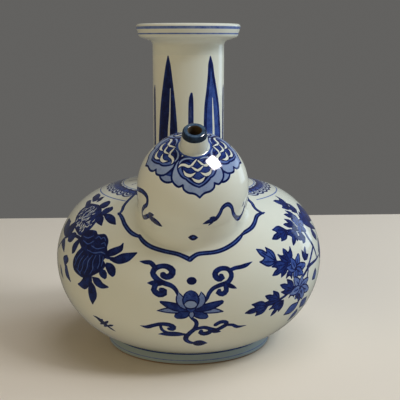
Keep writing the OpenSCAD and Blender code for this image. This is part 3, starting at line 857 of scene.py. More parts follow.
def shoulder_band(paint):
    """The border of waves round the shoulder, between thin lines, and dark petals round the neck's foot."""
    start, stop, waves = 46.0, 314.0, 34
    pitch = (stop - start) / waves
    degree = float(body_curve(64)[0]) * math.pi / 180
    sweep = lambda v, w: [(a, v, w) for a in np.linspace(start - 2, stop + 2, 120)]
    spots = [start + pitch * (i + 0.5) for i in range(waves)]
    paint.stroke(sweep(55.2, 0.45), SOFT)
    for a in spots:
        dot(paint, (a, 64.4), 12.4, 10.4, MID)
    paint.stroke(sweep(66.2, 4.6), MID, DEEP)
    for a in spots:
        for reach, tone in ((4.9, DARK), (3.7, 0.1), (2.6, DARK), (1.6, 0.1)):
            turns = [math.radians(t) for t in range(195, 346, 30)]
            paint.stroke([(a + reach * math.cos(t) / degree, 64.6 + reach * math.sin(t), 0.75)
                          for t in turns], tone)
        paint.stroke([(a + pitch / 2 - 1.6, 67.6, 0.5), (a + pitch / 2, 65.4, 1.5),
                      (a + pitch / 2 + 1.6, 67.6, 0.5)], DARK)
    paint.stroke(sweep(68.6, 0.7), DARK)
    paint.stroke(sweep(70.4, 0.4), SOFT)
    for i in range(18):
        a = 10 + 20 * i
        leaf(paint, (a, 84), (a, 74.6), 6.4, MID, line=1.0, blunt=0.2)
        leaf(paint, (a, 84), (a, 77.6), 2.2, BARE)


def spout_collar(paint):
    """The bracketed cartouche round the foot of the spout, a band with a dark edge on both sides."""
    for side in (
            [(-1.8, 18.2, 2.6), (-4.5, 20, 2.3), (-7.2, 21.4, 2.2), (-12.5, 22.8, 2.2), (-17.8, 24.8, 2.3),
             (-21.5, 27.6, 2.3), (-24, 30.8, 1.8)],
            [(-23.4, 30.2, 1.4), (-26.4, 31.2, 2.2), (-29.2, 33, 2.3), (-33, 36.8, 2.3), (-36, 40.5, 2.2),
             (-38.6, 43, 1.8), (-40.9, 44.2, 0.8)],
            [(-40, 43.4, 1.4), (-39.8, 46.6, 2.1), (-41.3, 50.5, 2.2), (-42.5, 56, 2.3), (-44, 61.5, 2.3),
             (-47, 67.5, 2.0), (-50, 73, 1.4)],
            [(-1.8, 18.2, 2.6), (0, 20.2, 2.3), (2.2, 21.4, 2.2), (8.2, 22, 2.2), (12.5, 23.6, 2.3),
             (17, 26.6, 2.3), (20.2, 29.8, 2.1), (21.4, 31.6, 1.6)],
            [(21, 31, 1.4), (22.8, 32.2, 2.1), (24.8, 33.2, 2.2), (27.6, 35, 2.3), (30.2, 37.8, 2.3),
             (33, 41.4, 2.2), (35.6, 43, 2.0), (39.8, 43.6, 0.6)],
            [(38.4, 43.2, 1.4), (36.4, 46.6, 2.1), (36.4, 49.6, 2.2), (37.5, 53, 2.3), (38, 57.2, 2.3),
             (40.4, 61, 2.2), (45, 66.5, 2.0), (50, 73, 1.4)]):
        paint.stroke(side, MID, line=0.7)


body_painting = Painting(DEGREE, lambda v: BODY_R / body_curve(v)[0])
shoulder_band(body_painting)
spout_collar(body_painting)
for half_turn in (0, 180):
    body_painting.turn = half_turn
    lotus_scroll(body_painting)
    peony_spray(body_painting)
    aster_spray(body_painting)

lower = Shell()
base_loop, lower_seam = body_sheet(lower, BASE_ALONG, 0.0)
_, under = lower.turn([(0.0, BASE_Z), (BASE_R - 2, BASE_Z)], closed=False)
lower.close(under, base_loop)
inner = [body_curve(v, WALL)[:2] for v in np.linspace(-SLIP / 2, -52.0, 14)]
inner = [(float(r), float(z)) for r, z in inner if z > FLOOR_Z + 0.5]
seam_z = SEAM_Z - SLIP / 2
ledge, _ = lower.turn([(BODY_R - SKIN, SEAM_Z), (BODY_R - SKIN, seam_z), (BODY_R - WALL, seam_z), *inner,
                       (inner[-1][0] - 2.0, FLOOR_Z), (0.0, FLOOR_Z)], closed=False)
lower.close(lower_seam, ledge)
lower.make("lower_body", "glazed_porcelain", porcelain)


# Body luting
# The slip in the middle seam, squeezed out inside as a rounded bead. Outside it was smoothed down, and
# lies hidden under the glaze.

BEAD = 1.6
bead_r = BODY_R - WALL
body_luting = Shell()
body_luting.turn([(BODY_R - SKIN, seam_z), (BODY_R - SKIN, seam_z + SLIP), (bead_r, seam_z + SLIP),
                  (bead_r - BEAD * 0.7, seam_z + SLIP * 0.85), (bead_r - BEAD, seam_z + SLIP / 2),
                  (bead_r - BEAD * 0.7, seam_z + SLIP * 0.15), (bead_r, seam_z)])
body_luting.make("body_luting", "luting_slip", porcelain)


# Upper body
# The domed half, thrown and trimmed like the lower one and luted to it rim to rim, with a flat land cut for
# the neck. Inside, its wall runs down to the bead of slip in the seam.

LAND_R = 27.1
SEAT_Z = 107.424
LAND_ALONG = 86.05
JOINT_BORE = 19.2

upper = Shell()
upper_seam, land_loop = body_sheet(upper, 0.0, LAND_ALONG)
inner = [body_curve(v, WALL)[:2] for v in np.linspace(92.0, SLIP / 2, 24)]
inner = [(float(r), float(z)) for r, z in inner if r > JOINT_BORE]
ledge, last = upper.turn([(LAND_R - 1, SEAT_Z), (JOINT_BORE, SEAT_Z), (JOINT_BORE, inner[0][1]), *inner,
                          (BODY_R - SKIN, seam_z + SLIP), (BODY_R - SKIN, SEAM_Z)], closed=False)
upper.close(land_loop, ledge)
upper.close(last, upper_seam)
upper.make("upper_body", "glazed_porcelain", porcelain)


# Neck luting
# Porcelain slip that holds the neck on its land. It was drawn out with a wet finger into a hollow curve,
# where the glaze pools.

NECK_R = 22.6
NECK_FILLET = 4.5
FEATHER = 0.25

fillet = arc((LAND_R + FEATHER, SEAT_Z + NECK_FILLET + FEATHER), NECK_FILLET, 267, 183, 8)
neck_luting = Shell()
neck_luting.turn([(JOINT_BORE, SEAT_Z), (LAND_R, SEAT_Z), *fillet, (NECK_R, SEAT_Z + NECK_FILLET),
                  (NECK_R, SEAT_Z + SLIP), (JOINT_BORE, SEAT_Z + SLIP)], pool_and_shade=0.3)
neck_luting.make("neck_luting", "luting_slip", porcelain)


# Neck
# A straight tube thrown on the wheel, through which the vessel is filled and held. Tall plantain leaves
# are painted round it, with the tips of a second row of leaves between them.

NECK_Z = SEAT_Z + SLIP
NECK_H = 77.5
NECK_BORE = 18.4
NECK_WRAP = 154
PLANTAIN_RIM = 1.7
PLANTAIN_TIP = 0.5
MOUTH_Z = NECK_Z + NECK_H + SLIP


def neck_surface(flat):
    """Points and normals of the neck's outside for flat coordinates in mm."""
    return round_axis(flat[:, 0] / NECK_R, NECK_R, flat[:, 1], 1.0, np.zeros(len(flat)))


def plantain(turn, left, right, tone, rib):
    """A tall leaf with a dark rim and a white midrib, from its two edges, which end at its tip."""
    left = [(turn + a, z) for a, z in left]
    right = [(turn + a, z) for a, z in right]
    neck_painting.patch([left, right[::-1], [right[0], left[0]]], tone)
    for side in (left, right):
        neck_painting.stroke([(a, z, PLANTAIN_RIM) for a, z in side[:-1]] + [(*side[-1], PLANTAIN_TIP)],
                             DEEP, DARK)
    neck_painting.stroke([(turn + a, z, w) for a, z, w in rib], BARE)


neck_painting = Painting(NECK_R * math.pi / 180)
dark_leaf = ([(-20, 112), (-19, 124), (-16.8, 136.3), (-14.4, 146.7), (-11.2, 156.4), (-7.1, 165.4),
              (-2.6, 174.3), (0.7, 180.3), (2.5, 185.4)],
             [(17.5, 112), (17.2, 124), (16, 136.3), (14.4, 146.7), (12.2, 156.4), (9.6, 165.4),
              (6.6, 174.3), (4.4, 180.3), (2.5, 185.4)], DARK,
             [(1.5, 112, 2.0), (3, 139, 1.3), (4.9, 150, 0.7), (6.4, 166, 0.1)])
light_leaf = ([(-15, 112), (-14.6, 124), (-13.5, 136), (-13, 146.7), (-11.7, 156.4), (-8.5, 165.4),
               (-6.1, 174.3), (-5.2, 180.3), (-3.7, 185.2)],
              [(20, 112), (20.4, 124), (19.7, 138), (17.5, 146.7), (13.7, 156.4), (7.9, 165.4),
               (2.1, 174.3), (-0.7, 180.3), (-3.7, 185.2)], MID,
              [(4, 112, 2.0), (3.4, 139, 1.4), (2.1, 150, 1.0), (0.8, 160, 0.1)])
for spot, shape in ((-38, dark_leaf), (38, light_leaf), (-109, light_leaf), (108, dark_leaf),
                    (181, light_leaf)):
    plantain(spot, *shape)
for spot, top in ((1.4, 163), (72, 167), (-72, 167), (144, 164), (-144, 164)):
    neck_painting.stroke([(spot, 112, 3.2), (spot, 140, 3.0), (spot + 0.3, top - 5, 2.6),
                          (spot + 1.2, top, 1.0)], DEEP, DARK)

neck = Shell()
neck_foot, neck_top = turned_sheet(neck, neck_painting, neck_surface, NECK_WRAP, NECK_Z, MOUTH_Z - SLIP / 2)
first, last = neck.turn([(NECK_R - SKIN, MOUTH_Z - SLIP / 2), (NECK_R - SKIN, MOUTH_Z - SLIP),
                         (NECK_BORE, MOUTH_Z - SLIP), (NECK_BORE, NECK_Z), (NECK_R - SKIN, NECK_Z)],
                        closed=False)
neck.close(neck_top, first)
neck.close(last, neck_foot)
neck.make("neck", "glazed_porcelain", porcelain)


# Mouth luting
# A thin ring of porcelain slip that holds the mouth piece on the neck. It was scraped level and lies hidden
# under the glaze.

mouth_luting = Shell()
mouth_luting.turn([(JOINT_BORE, MOUTH_Z - SLIP), (NECK_R - SKIN, MOUTH_Z - SLIP), (NECK_R - SKIN, MOUTH_Z),
                   (JOINT_BORE, MOUTH_Z)])
mouth_luting.make("mouth_luting", "luting_slip", porcelain)


# Mouth flange
# The cup-shaped mouth, turned from one piece: a hollow curve under it, a low upright wall with two painted
# lines, and a rounded rim that the glaze leaves white.

MOUTH_H = 18.5
RIM_R = 32.8
RIM_T = 3.6
COVE_R = 3.2
COVE_Z = 191.9
UNDER_RISE = 17
CORNER = (29.1, 198.8)
CORNER_R = 2.4
CUP_R = 6.6
CUP_Z = 198.2
FLANGE_LINES = [(201.8, 203.2, 0.44), (198.6, 199.2, 0.47)]

lip = RIM_T / 2
flange_profile = [(JOINT_BORE, MOUTH_Z), (NECK_R - SKIN, MOUTH_Z), (NECK_R - SKIN, MOUTH_Z - SLIP / 2)]
flange_profile += [(NECK_R, MOUTH_Z - SLIP / 2)]
flange_profile += arc((NECK_R + COVE_R, COVE_Z), COVE_R, 180, 90 + UNDER_RISE)
flange_profile += arc(CORNER, CORNER_R, UNDER_RISE - 90, -8)
flange_profile += arc((RIM_R - lip, MOUTH_Z + MOUTH_H - lip), lip, 0, 180, 12)
flange_profile += arc((RIM_R - RIM_T - CUP_R, CUP_Z + CUP_R), CUP_R, 0, -50)
flange_profile += [(JOINT_BORE, CUP_Z - RIM_T - lip)]
flange = Shell()
flange.turn(with_lines(flange_profile, FLANGE_LINES), tone=line_depth(FLANGE_LINES, RIM_R - 2), pool_and_shade=0.1)
flange.make("mouth_flange", "glazed_porcelain", porcelain)


# Spout luting
# Slip round the foot of the bulb, drawn out into a hollow curve: broad in front, where the bulb hangs over
# the body, and narrow beside the neck. The bulb's painting runs down over it.

BULB_R = 32.1
BULB_WALL = 4.0
BULB_Y = -61.5
BULB_Z = 112.4
TILT = math.radians(56)
SKIRT = 6.0
BEND_R = 22.0
ROOT_TURN = math.pi / 2 - TILT
ROOT_L = BULB_R + SKIRT
DOME_L = BULB_R * math.pi / 2
BEND_L = BEND_R * ROOT_TURN
PLAY = 0.05
ROOM_SHARE = 0.45
TOE_REACH = 5.0
SIDE_RISE = 9.0
FRONT_RISE = 4.0
DROP_PULL = 4.5
TOE_PULL = 0.8
SCORING = 0.25
SPOUT_COLUMNS = 144
SCROLL_LINE = 0.3
LAPPET_TURNS = (92, 272, 182, 5)
LOBE_TURNS = (45, 135, 225, 315)
NOZZLE_RING = 9.4


def bulb_radius(depth, grow=0.0):
    """Radius of the bulb, grown by a layer, by depth below its centre along its axis."""
    bend, past = BEND_R + grow, depth - SKIRT
    dome = np.sqrt(np.maximum((BULB_R + grow) ** 2 - depth ** 2, 0))
    curve = BULB_R - BEND_R + np.sqrt(np.maximum(bend ** 2 - past ** 2, 0))
    root = BULB_R - BEND_R + (bend - past * math.sin(ROOT_TURN)) / math.cos(ROOT_TURN)
    return np.select([depth < 0, past < 0, past < bend * math.sin(ROOT_TURN)], [dome, BULB_R + grow, curve],
                     root)


def along_bulb(depth):
    """Distance from the bulb's pole, along its wall, to a depth."""
    dome = BULB_R * np.arccos(np.clip(-depth / BULB_R, 0, 1))
    bend = np.arcsin(np.clip((depth - SKIRT) / BEND_R, 0, math.sin(ROOT_TURN)))
    root = np.maximum(depth - SKIRT - BEND_R * math.sin(ROOT_TURN), 0) / math.cos(ROOT_TURN)
    return np.where(depth < 0, dome, DOME_L + np.clip(depth, 0, SKIRT) + BEND_R * bend + root)


def spout_point(turn, r, depth):
    """A point by its turn about the spout's axis, from the front, its distance from it and its depth."""
    back = -r * np.cos(turn)
    return np.stack([r * np.sin(turn), BULB_Y + back * math.sin(TILT) + depth * math.cos(TILT),
                     BULB_Z + back * math.cos(TILT) - depth * math.sin(TILT)], -1)


def bulb_point(turn, depth, grow=0.0):
    """A point on the bulb, grown by a layer, by its turn and depth."""
    return spout_point(turn, bulb_radius(depth, grow), depth)


def body_radius(z, grow):
    """Radius of the body's upper half, grown by a layer, by height above the table."""
    tight, tight_x, flat, flat_z = UPPER
    h = z - SEAM_Z
    low = tight_x + np.sqrt(np.maximum((tight + grow) ** 2 - h ** 2, 0))
    high = np.sqrt(np.maximum((flat + grow) ** 2 - (h - flat_z) ** 2, 0))
    return np.where(h > (tight + grow) * math.sin(ARC_MEET), high, low)


def meet_depth(turn, bulb_grow, body_grow):
    """Depth at which the bulb, grown by one layer, goes into the body, grown by another."""
    low, high = np.zeros_like(turn), np.full_like(turn, ROOT_L)
    for _ in range(24):
        middle = (low + high) / 2
        p = bulb_point(turn, middle, bulb_grow)
        clear = np.hypot(p[:, 0], p[:, 1]) > body_radius(p[:, 2], body_grow)
        low, high = np.where(clear, middle, low), np.where(clear, high, middle)
    return (low + high) / 2


def meet_point(turn, bulb_grow, body_grow):
    """Point at which the grown bulb goes into the grown body."""
    return bulb_point(turn, meet_depth(turn, bulb_grow, body_grow), bulb_grow)


def placed_at(turn):
    """Moves points of (across, distance from the bulb's pole) to a turn round the pole, in degrees."""
    c, s = math.cos(math.radians(turn)), math.sin(math.radians(turn))
    return lambda points: [(a * c + d * s, a * s - d * c, *rest) for a, d, *rest in points]


def lappet(turn):
    """One cloud-shaped lappet of the collar: nested bands round a heart of white scrolls."""
    place = placed_at(turn)
    whole = lambda half: half + [[(-a, d) for a, d in line[::-1]] for line in half[::-1]]
    side_lobe = [(5.6, 7.4), (10.6, 9.4), (13.4, 12.8), (15.2, 16.4), (15.6, 19.4), (14.2, 22.4),
                 (12.2, 24.2), (9.6, 23.8)]
    border = whole([side_lobe, [(9.6, 23.8), (9.4, 26.2), (7, 28.4), (3, 29.6), (0, 31.8)]])
    band = whole([[(3.6, 8.4), (8.6, 9.6), (11, 13), (10.7, 16.8), (9.2, 19.6), (7.2, 21)],
                  [(7.2, 21), (6, 22.6), (3.2, 24.8), (0, 26.2)]])
    heart = whole([[(2.4, 9), (6.6, 10), (8.5, 13.2), (8.4, 16.6), (7.2, 18.9), (5.2, 20.8), (2.8, 23.2),
                    (0, 24.6)]])
    for outline, inner_end, wash, line in ((border, 7.0, PALE, 0.85), (band, 8.0, 0.48, 0.65),
                                           (heart, 8.6, 0.72, 0.55)):
        first, last = outline[0][0], outline[-1][-1]
        bulb_painting.patch([place(stretch) for stretch in outline]
                            + [place([last, (0, inner_end), first])], wash)
        for stretch in outline:
            bulb_painting.stroke(place([(a, d, line) for a, d in stretch]), DARK)
    for side in (1, -1):
        for scroll, tone, line in (
                ([(10.2, 12.4, 1.0), (9, 10.4, 1.6), (6.6, 9.3, 1.8), (4, 9.5, 1.6), (1.8, 10.4, 1.0)],
                 PALE, SCROLL_LINE),
                ([(8.2, 11.3, 0.6), (6.6, 10.7, 1.2), (4.8, 11, 1.2), (3.6, 12.2, 0.6)], DARK, 0.0),
                ([(7.9, 16, 1.0), (7, 18.3, 2.3), (4.4, 19.5, 2.5), (1.8, 18.4, 1.2)], BARE, SCROLL_LINE),
                ([(10.6, 13.6, 1.0), (9.1, 12.5, 2.0), (6.9, 12.9, 2.3), (5.1, 14.2, 2.3), (3.6, 14.2, 2.1),
                  (2, 12.7, 1.9), (0.2, 10.8, 1.4)], BARE, SCROLL_LINE)):
            bulb_painting.stroke(place([(side * a, d, w) for a, d, w in scroll]), tone, line=line)
    for scroll in (
            [(-3, 14.9, 1.4), (-1.3, 16.4, 2.0), (0, 17, 2.1), (1.3, 16.4, 2.0), (3, 14.9, 1.4)],
            [(-3.7, 20.8, 1.0), (-2.2, 22.3, 2.1), (0, 23.1, 2.4), (2.2, 22.3, 2.1), (3.7, 20.8, 1.0)]):
        bulb_painting.stroke(place(scroll), BARE, line=SCROLL_LINE)


def cloud_lobe(turn):
    """The small lobe of the collar that shows between two lappets."""
    place = placed_at(turn)
    outline = [(-6.6, 17), (-6.6, 23), (-3.6, 26.6), (0, 27.6), (3.6, 26.6), (6.6, 23), (6.6, 17)]
    bulb_painting.patch([place(outline), place([(6.6, 17), (0, 14), (-6.6, 17)])], 0.33)
    bulb_painting.stroke(place([(-2.6, 18, 1.4), (-2.8, 21, 2.4), (0, 22.6, 2.6), (2.8, 21, 2.4),
                                (2.6, 18, 1.4)]), MID, DEEP)
    bulb_painting.stroke(place([(a, d, 0.85) for a, d in outline]), DARK)


bulb_painting = Painting()
for spot in LOBE_TURNS:
    cloud_lobe(spot)
for spot in LAPPET_TURNS:
    lappet(spot)
bulb_painting.stroke([(NOZZLE_RING * math.sin(t), -NOZZLE_RING * math.cos(t), RIM_LINE)
                      for t in np.linspace(0, 2 * math.pi, 40)], MID)
for ribbon in (
        [(10, -46.4, 1.0), (13, -45.4, 2.2), (16.9, -43, 2.7), (19, -39.1, 2.6), (19.9, -35.6, 2.4),
         (23.6, -32.5, 2.5), (28.2, -33, 2.6), (33.1, -36.1, 2.8), (40.3, -36.3, 2.8), (46.4, -32.5, 2.7),
         (48.3, -26.8, 2.4), (47, -19, 2.4), (51, -8, 2.4), (58, 6, 2.2)],
        [(-58, 8, 2.2), (-51, -1.6, 2.6), (-45, -9.4, 2.7), (-38.4, -17, 2.6), (-35.4, -22.8, 2.6),
         (-38.6, -26.2, 2.6), (-46.5, -24.4, 2.6), (-52.4, -23.8, 2.4), (-52.4, -27.4, 2.6),
         (-45, -32, 2.7), (-39, -33.2, 2.3), (-36.4, -35.4, 1.2)]):
    bulb_painting.stroke(ribbon, DEEP - 0.05, line=0.7)
for base, tip, width in (
        ((-42.6, -33.8), (-30.6, -45.4), 3.6), ((-41.6, -33), (-35, -35.4), 2.4),
        ((18.4, -42.6), (6.4, -47.8), 2.8), ((16.6, -42.4), (11, -43.4), 1.6),
        ((15.6, -45), (11.4, -48.6), 1.2)):
    leaf(bulb_painting, base, tip, width, 0.9, DARK)
bulb_painting.stroke([(-56.4, -2.4, 0.8), (-57.6, -6.6, 2.4), (-58.6, -11.2, 0.8)], DARK)
bulb_painting.stroke([(42.6, -22.8, 0.6), (42.4, -24.8, 1.6), (41.8, -26.6, 0.4)], DARK)
bulb_painting.stroke([(-6.2, -57.2, 0.2), (-4.2, -57.4, 2.8), (-1.6, -57.6, 3.8), (1, -57.6, 2.8),
                      (3.2, -57.6, 0.2)], DARK)
bulb_painting.stroke([(-3, -57.5, 0.2), (-1.4, -57.5, 1.5), (0.2, -57.5, 0.2)], MID)

spout_turns = np.radians(np.arange(SPOUT_COLUMNS) * 360 / SPOUT_COLUMNS)
contact = meet_point(spout_turns, 0.0, SLIP)
front = np.maximum(np.cos(spout_turns), 0) ** 2
room = (np.hypot(contact[:, 0], contact[:, 1]) - LAND_R) * ROOM_SHARE
foot_depth = meet_depth(spout_turns, PLAY, SLIP)
corner = bulb_point(spout_turns, foot_depth, PLAY)
top_depth = foot_depth - np.clip(room, SLIP, SIDE_RISE + FRONT_RISE * front)
top = bulb_point(spout_turns, top_depth, PLAY)
below = bulb_point(spout_turns, top_depth + 0.1, PLAY)
toe = meet_point(spout_turns, np.clip(room, SLIP, TOE_REACH), PLAY)
toe_r, toe_h = np.hypot(toe[:, 0], toe[:, 1]), toe[:, 2] - SEAM_Z
on_tight = toe_h < UPPER[0] * math.sin(ARC_MEET)
out, up = np.where(on_tight, toe_r - UPPER[1], toe_r), np.where(on_tight, toe_h, toe_h - UPPER[3])
facing = np.column_stack([toe[:, 0] / toe_r * out, toe[:, 1] / toe_r * out, up])
facing /= np.linalg.norm(facing, axis=1)[:, None]
inward = corner - toe
inward -= (inward * facing).sum(1)[:, None] * facing
span = np.linalg.norm(top - toe, axis=1)[:, None]
hollow_lines = [top, top + (below - top) * span * DROP_PULL, toe + inward * TOE_PULL, toe]
ring_turns = np.append(spout_turns, 2 * math.pi)


def round_ring(turn, values):
    """A value at a turn, between those of the columns round the spout."""
    return np.interp(turn, ring_turns, np.append(values, values[0]))


def unspread(flat):
    """Turn about the spout and distance from its pole, for flat coordinates on the bulb."""
    return np.arctan2(flat[:, 0], -flat[:, 1]) % (2 * math.pi), np.hypot(flat[:, 0], flat[:, 1])


def hollow_point(turn, share):
    """A point of the hollow curve, by its turn about the spout and its share of the way down."""
    t = share[:, None]
    weights = ((1 - t) ** 3, 3 * t * (1 - t) ** 2, 3 * t ** 2 * (1 - t), t ** 3)
    turn = turn % (2 * math.pi)
    return sum(w * np.column_stack([round_ring(turn, axis) for axis in line.T])
               for w, line in zip(weights, hollow_lines))


rows = [hollow_point(spout_turns, np.full(SPOUT_COLUMNS, t)) for t in np.linspace(0, 1, 13)]
hollow_top = along_bulb(top_depth)
hollow_span = sum(np.linalg.norm(b - a, axis=1) for a, b in zip(rows, rows[1:]))


def hollow_place(flat):
    """Turn and share of the way down the hollow curve, for flat coordinates that go on from the bulb's."""
    turn, along = unspread(flat)
    return turn, (along - round_ring(turn, hollow_top)) / round_ring(turn, hollow_span)


def hollow_surface(flat):
    """Points and normals of the hollow curve for flat coordinates in mm."""
    turn, share = hollow_place(flat)
    share = np.clip(share, 0, 1)
    down = hollow_point(turn, np.minimum(share + 0.01, 1)) - hollow_point(turn, np.maximum(share - 0.01, 0))
    normals = np.cross(down, hollow_point(turn + 0.02, share) - hollow_point(turn - 0.02, share))
    return hollow_point(turn, share), normals / np.linalg.norm(normals, axis=1)[:, None]


def on_hollow(flat):
    """Whether flat coordinates lie on the hollow curve."""
    _, share = hollow_place(flat)
    return (share > -0.0005) & (share < 1.0005)


def bulb_turn(flat):
    """Turn about the spout in degrees, for one flat point."""
    return math.degrees(math.atan2(flat[0], -flat[1])) % 360


def spread_out(turn, along):
    """Flat coordinates on the bulb; a full turn ends exactly where it began."""
    turn = turn % (2 * math.pi)
    return np.column_stack([along * np.sin(turn), -along * np.cos(turn)])


fences = [spread_out(ring_turns, np.append(line, line[0]))
          for line in (hollow_top, hollow_top + hollow_span)]
grid = np.vstack([spread_out(spout_turns, hollow_top + hollow_span * t)
                  for t in np.linspace(0, 1, 11)[1:-1]])
spout_luting = Shell()
toe_loop, top_loop = painted_sheet(spout_luting, bulb_painting, hollow_surface, fences, grid, on_hollow,
                                   bulb_turn)
back_depths = [top_depth + (foot_depth - top_depth) * t for t in (0.1, 0.3, 0.5, 0.7, 0.85, 1)]
hidden = [bulb_point(spout_turns, depth, -2 * PLAY) for depth in back_depths]
hidden += [meet_point(spout_turns, -BULB_WALL, SLIP - PLAY), meet_point(spout_turns, -BULB_WALL, PLAY),
           meet_point(spout_turns, 0.0, PLAY)]
first, last = spout_luting.drape(hidden)
spout_luting.close(top_loop, first)
spout_luting.close(last, toe_loop)
spout_luting.make("spout_luting", "luting_slip", porcelain)


# Spout bulb
# The hollow breast-shaped spout, trimmed to the shoulder and luted on. A collar of four cloud-shaped
# lappets is painted round the nozzle, with loose ribbons below it.

CROWN_HOLE = 4.55
AXIS = np.array([0.0, -math.cos(TILT), math.sin(TILT)])


def bulb_surface(flat):
    """Points and normals of the bulb's outside, spread flat round its pole, front downwards."""
    turn, along = unspread(flat)
    dome = along / BULB_R
    bend = np.clip((along - DOME_L - SKIRT) / BEND_R, 0, ROOT_TURN)
    root = np.maximum(along - DOME_L - SKIRT - BEND_L, 0)
    depth = np.where(along < DOME_L, -BULB_R * np.cos(dome),
                     np.minimum(along - DOME_L, SKIRT) + BEND_R * np.sin(bend))
    depth = depth + root * math.cos(ROOT_TURN)
    out = np.where(along < DOME_L, np.sin(dome), np.cos(bend))
    up = np.where(along < DOME_L, np.cos(dome), -np.sin(bend))
    sideways = np.column_stack([np.sin(turn), -np.cos(turn) * math.sin(TILT),
                                -np.cos(turn) * math.cos(TILT)])
    normals = out[:, None] * sideways + up[:, None] * AXIS
    under = along - round_ring(turn, hollow_top)
    scored = SCORING * np.clip(under / 2 - 0.3, 0, 1)
    return bulb_point(turn, depth) - normals * scored[:, None], normals


rim_turns = np.radians(np.arange(0, 361, 1.5))
rim = along_bulb(meet_depth(rim_turns, 0.0, SLIP))
pole = BULB_R * math.asin(CROWN_HOLE / BULB_R)
fences = [spread_out(rim_turns, np.full_like(rim, pole)), spread_out(rim_turns, rim)]


def on_bulb(flat):
    """Whether flat coordinates lie on the bulb's painted outside."""
    turn, along = unspread(flat)
    return (along > pole - 0.01) & (along < np.interp(turn, rim_turns, rim) + 0.004)


grid = np.array([(x, y) for x in np.arange(-78, 79, 3.0) for y in np.arange(-78, 79, 3.0)])
grid = grid[on_bulb(grid * 1.02) & on_bulb(grid * 0.9)]
bulb = Shell()
bulb_foot, bulb_crown = painted_sheet(bulb, bulb_painting, bulb_surface, fences, grid, on_bulb, bulb_turn)
crown = np.full(SPOUT_COLUMNS, -math.sqrt((BULB_R - BULB_WALL) ** 2 - CROWN_HOLE ** 2))
end = meet_depth(spout_turns, -BULB_WALL, SLIP)
inner = [crown + (end - crown) * t for t in np.linspace(0, 1, 16)]
first, last = bulb.drape([bulb_point(spout_turns, depth, -BULB_WALL) for depth in inner])
bulb.close(bulb_crown, first)
bulb.close(last, bulb_foot)
bulb.make("spout_bulb", "glazed_porcelain", porcelain)


# Nozzle luting
# Porcelain slip that holds the nozzle on the bulb's dome. It was drawn out round the nozzle's foot into a
# small hollow curve.

NOZZLE_R = 7.8
NOZZLE_FILLET = 1.2

spout_frame = Matrix.Translation((0, BULB_Y, BULB_Z)) @ Matrix.Rotation(ROOT_TURN, 4, "X")
toe_r = NOZZLE_R + NOZZLE_FILLET
fillet_z = math.sqrt((BULB_R + NOZZLE_FILLET) ** 2 - toe_r ** 2)
toe_turn = math.degrees(math.atan2(fillet_z, toe_r))
hole_turn = math.degrees(math.acos(CROWN_HOLE / BULB_R))
top_turn = math.degrees(math.acos(NOZZLE_R / (BULB_R + SLIP)))
nozzle_hollow = arc((0, 0), BULB_R, hole_turn, toe_turn, 4)
nozzle_hollow += arc((toe_r, fillet_z), NOZZLE_FILLET, toe_turn + 180, 180, 8)
nozzle_hollow += arc((0, 0), BULB_R + SLIP, top_turn, hole_turn, 4)
nozzle_luting = Shell()
nozzle_luting.turn(nozzle_hollow, spout_frame, pool_and_shade=0.35)
nozzle_luting.make("nozzle_luting", "luting_slip", porcelain)


# Spout nozzle
# A short tapered tube that pours. Its lip is painted dark blue, lighter on top as a painted highlight, and
# the pouring hole was pierced after glazing and shows brown clay, darkened further with painted shade.

NOZZLE_L = 10.2
NOZZLE_BORE = 3.75
TIP_R = 6.6
TIP_EDGE = 1.2
BORE_EDGE = 0.6
LIP_BAND = 3.2
# The lip's top tone is lighter than its side as a painted highlight on the rounded rim.
LIP_TOP_HIGHLIGHT_TONE = 0.68
LIP_SIDE_TONE = 0.92
LIP_TONES = ((0.0, "#AEB9C2"), (0.3, "#8495A6"), (0.55, "#536A80"), (0.78, "#263A52"), (1.0, "#101A2A"))
# The bore's bare clay colours are darkened with painted shade, as the inside of the hole lies in shadow.
BORE_SHADE_DARK = "#3A2E1A"
BORE_SHADE_LIGHT = "#54452A"

tip_z = BULB_R + NOZZLE_L
band_z = tip_z - LIP_BAND


def lip_depth(r, z):
    """Depth of cobalt on the nozzle: a band round its lip, lighter on top as a painted highlight."""
    if z < band_z - 0.1:
        return 0.0
    return LIP_TOP_HIGHLIGHT_TONE if z > tip_z - 0.1 else LIP_SIDE_TONE


nozzle_profile = [(NOZZLE_BORE, BULB_R + 0.6), (NOZZLE_R, BULB_R - 0.1), (NOZZLE_R, BULB_R + NOZZLE_FILLET)]
slope = tip_z - TIP_EDGE - BULB_R - NOZZLE_FILLET
for z in (band_z - 0.3, band_z):
    nozzle_profile.append((NOZZLE_R + (TIP_R - NOZZLE_R) * (z - BULB_R - NOZZLE_FILLET) / slope, z))
nozzle_profile += arc((TIP_R - TIP_EDGE, tip_z - TIP_EDGE), TIP_EDGE, 0, 90, 6)
nozzle_profile += arc((NOZZLE_BORE + BORE_EDGE, tip_z - BORE_EDGE), BORE_EDGE, 90, 180, 4)
nozzle = Shell()
nozzle.turn(nozzle_profile, spout_frame, tone=lip_depth, bare=lambda r, z: r < NOZZLE_BORE + 0.2, pool_and_shade=0.2)
nozzle.make("spout_nozzle", "cobalt_lip", glazed_porcelain("painted_lip", LIP_TONES),
            bare_biscuit("shaded_bore_clay", BORE_SHADE_DARK, BORE_SHADE_LIGHT))


# Stage
# A plain pale floor of matt paper that isn't mirrored in the glaze, soft studio light from the right and
# above, and a small lamp with a grid that only shows as a glint on the bulb. The camera looks at the vessel
# from the front, a little from above and a little from its left.

FLOOR = "#DCD2C4"
FLOOR_BACK = 0.375
FLOOR_REACH = 1.5
VESSEL_MIDDLE = (0.0, 0.0, 0.1)
GLINT_PLACE = (0.0523, -0.1064, 0.1823)
GLINT_AIM = (0.0105, -0.0865, 0.1297)
GLINT_SPREAD = math.radians(34)
ROOM_LIGHT = "#D8D6D2"
CAMERA = (-20.2, -525.5, 195.5)
PITCH = 11.09
YAW_RIGHT = 0.8
LENS = 73.78
SENSOR = 36.0

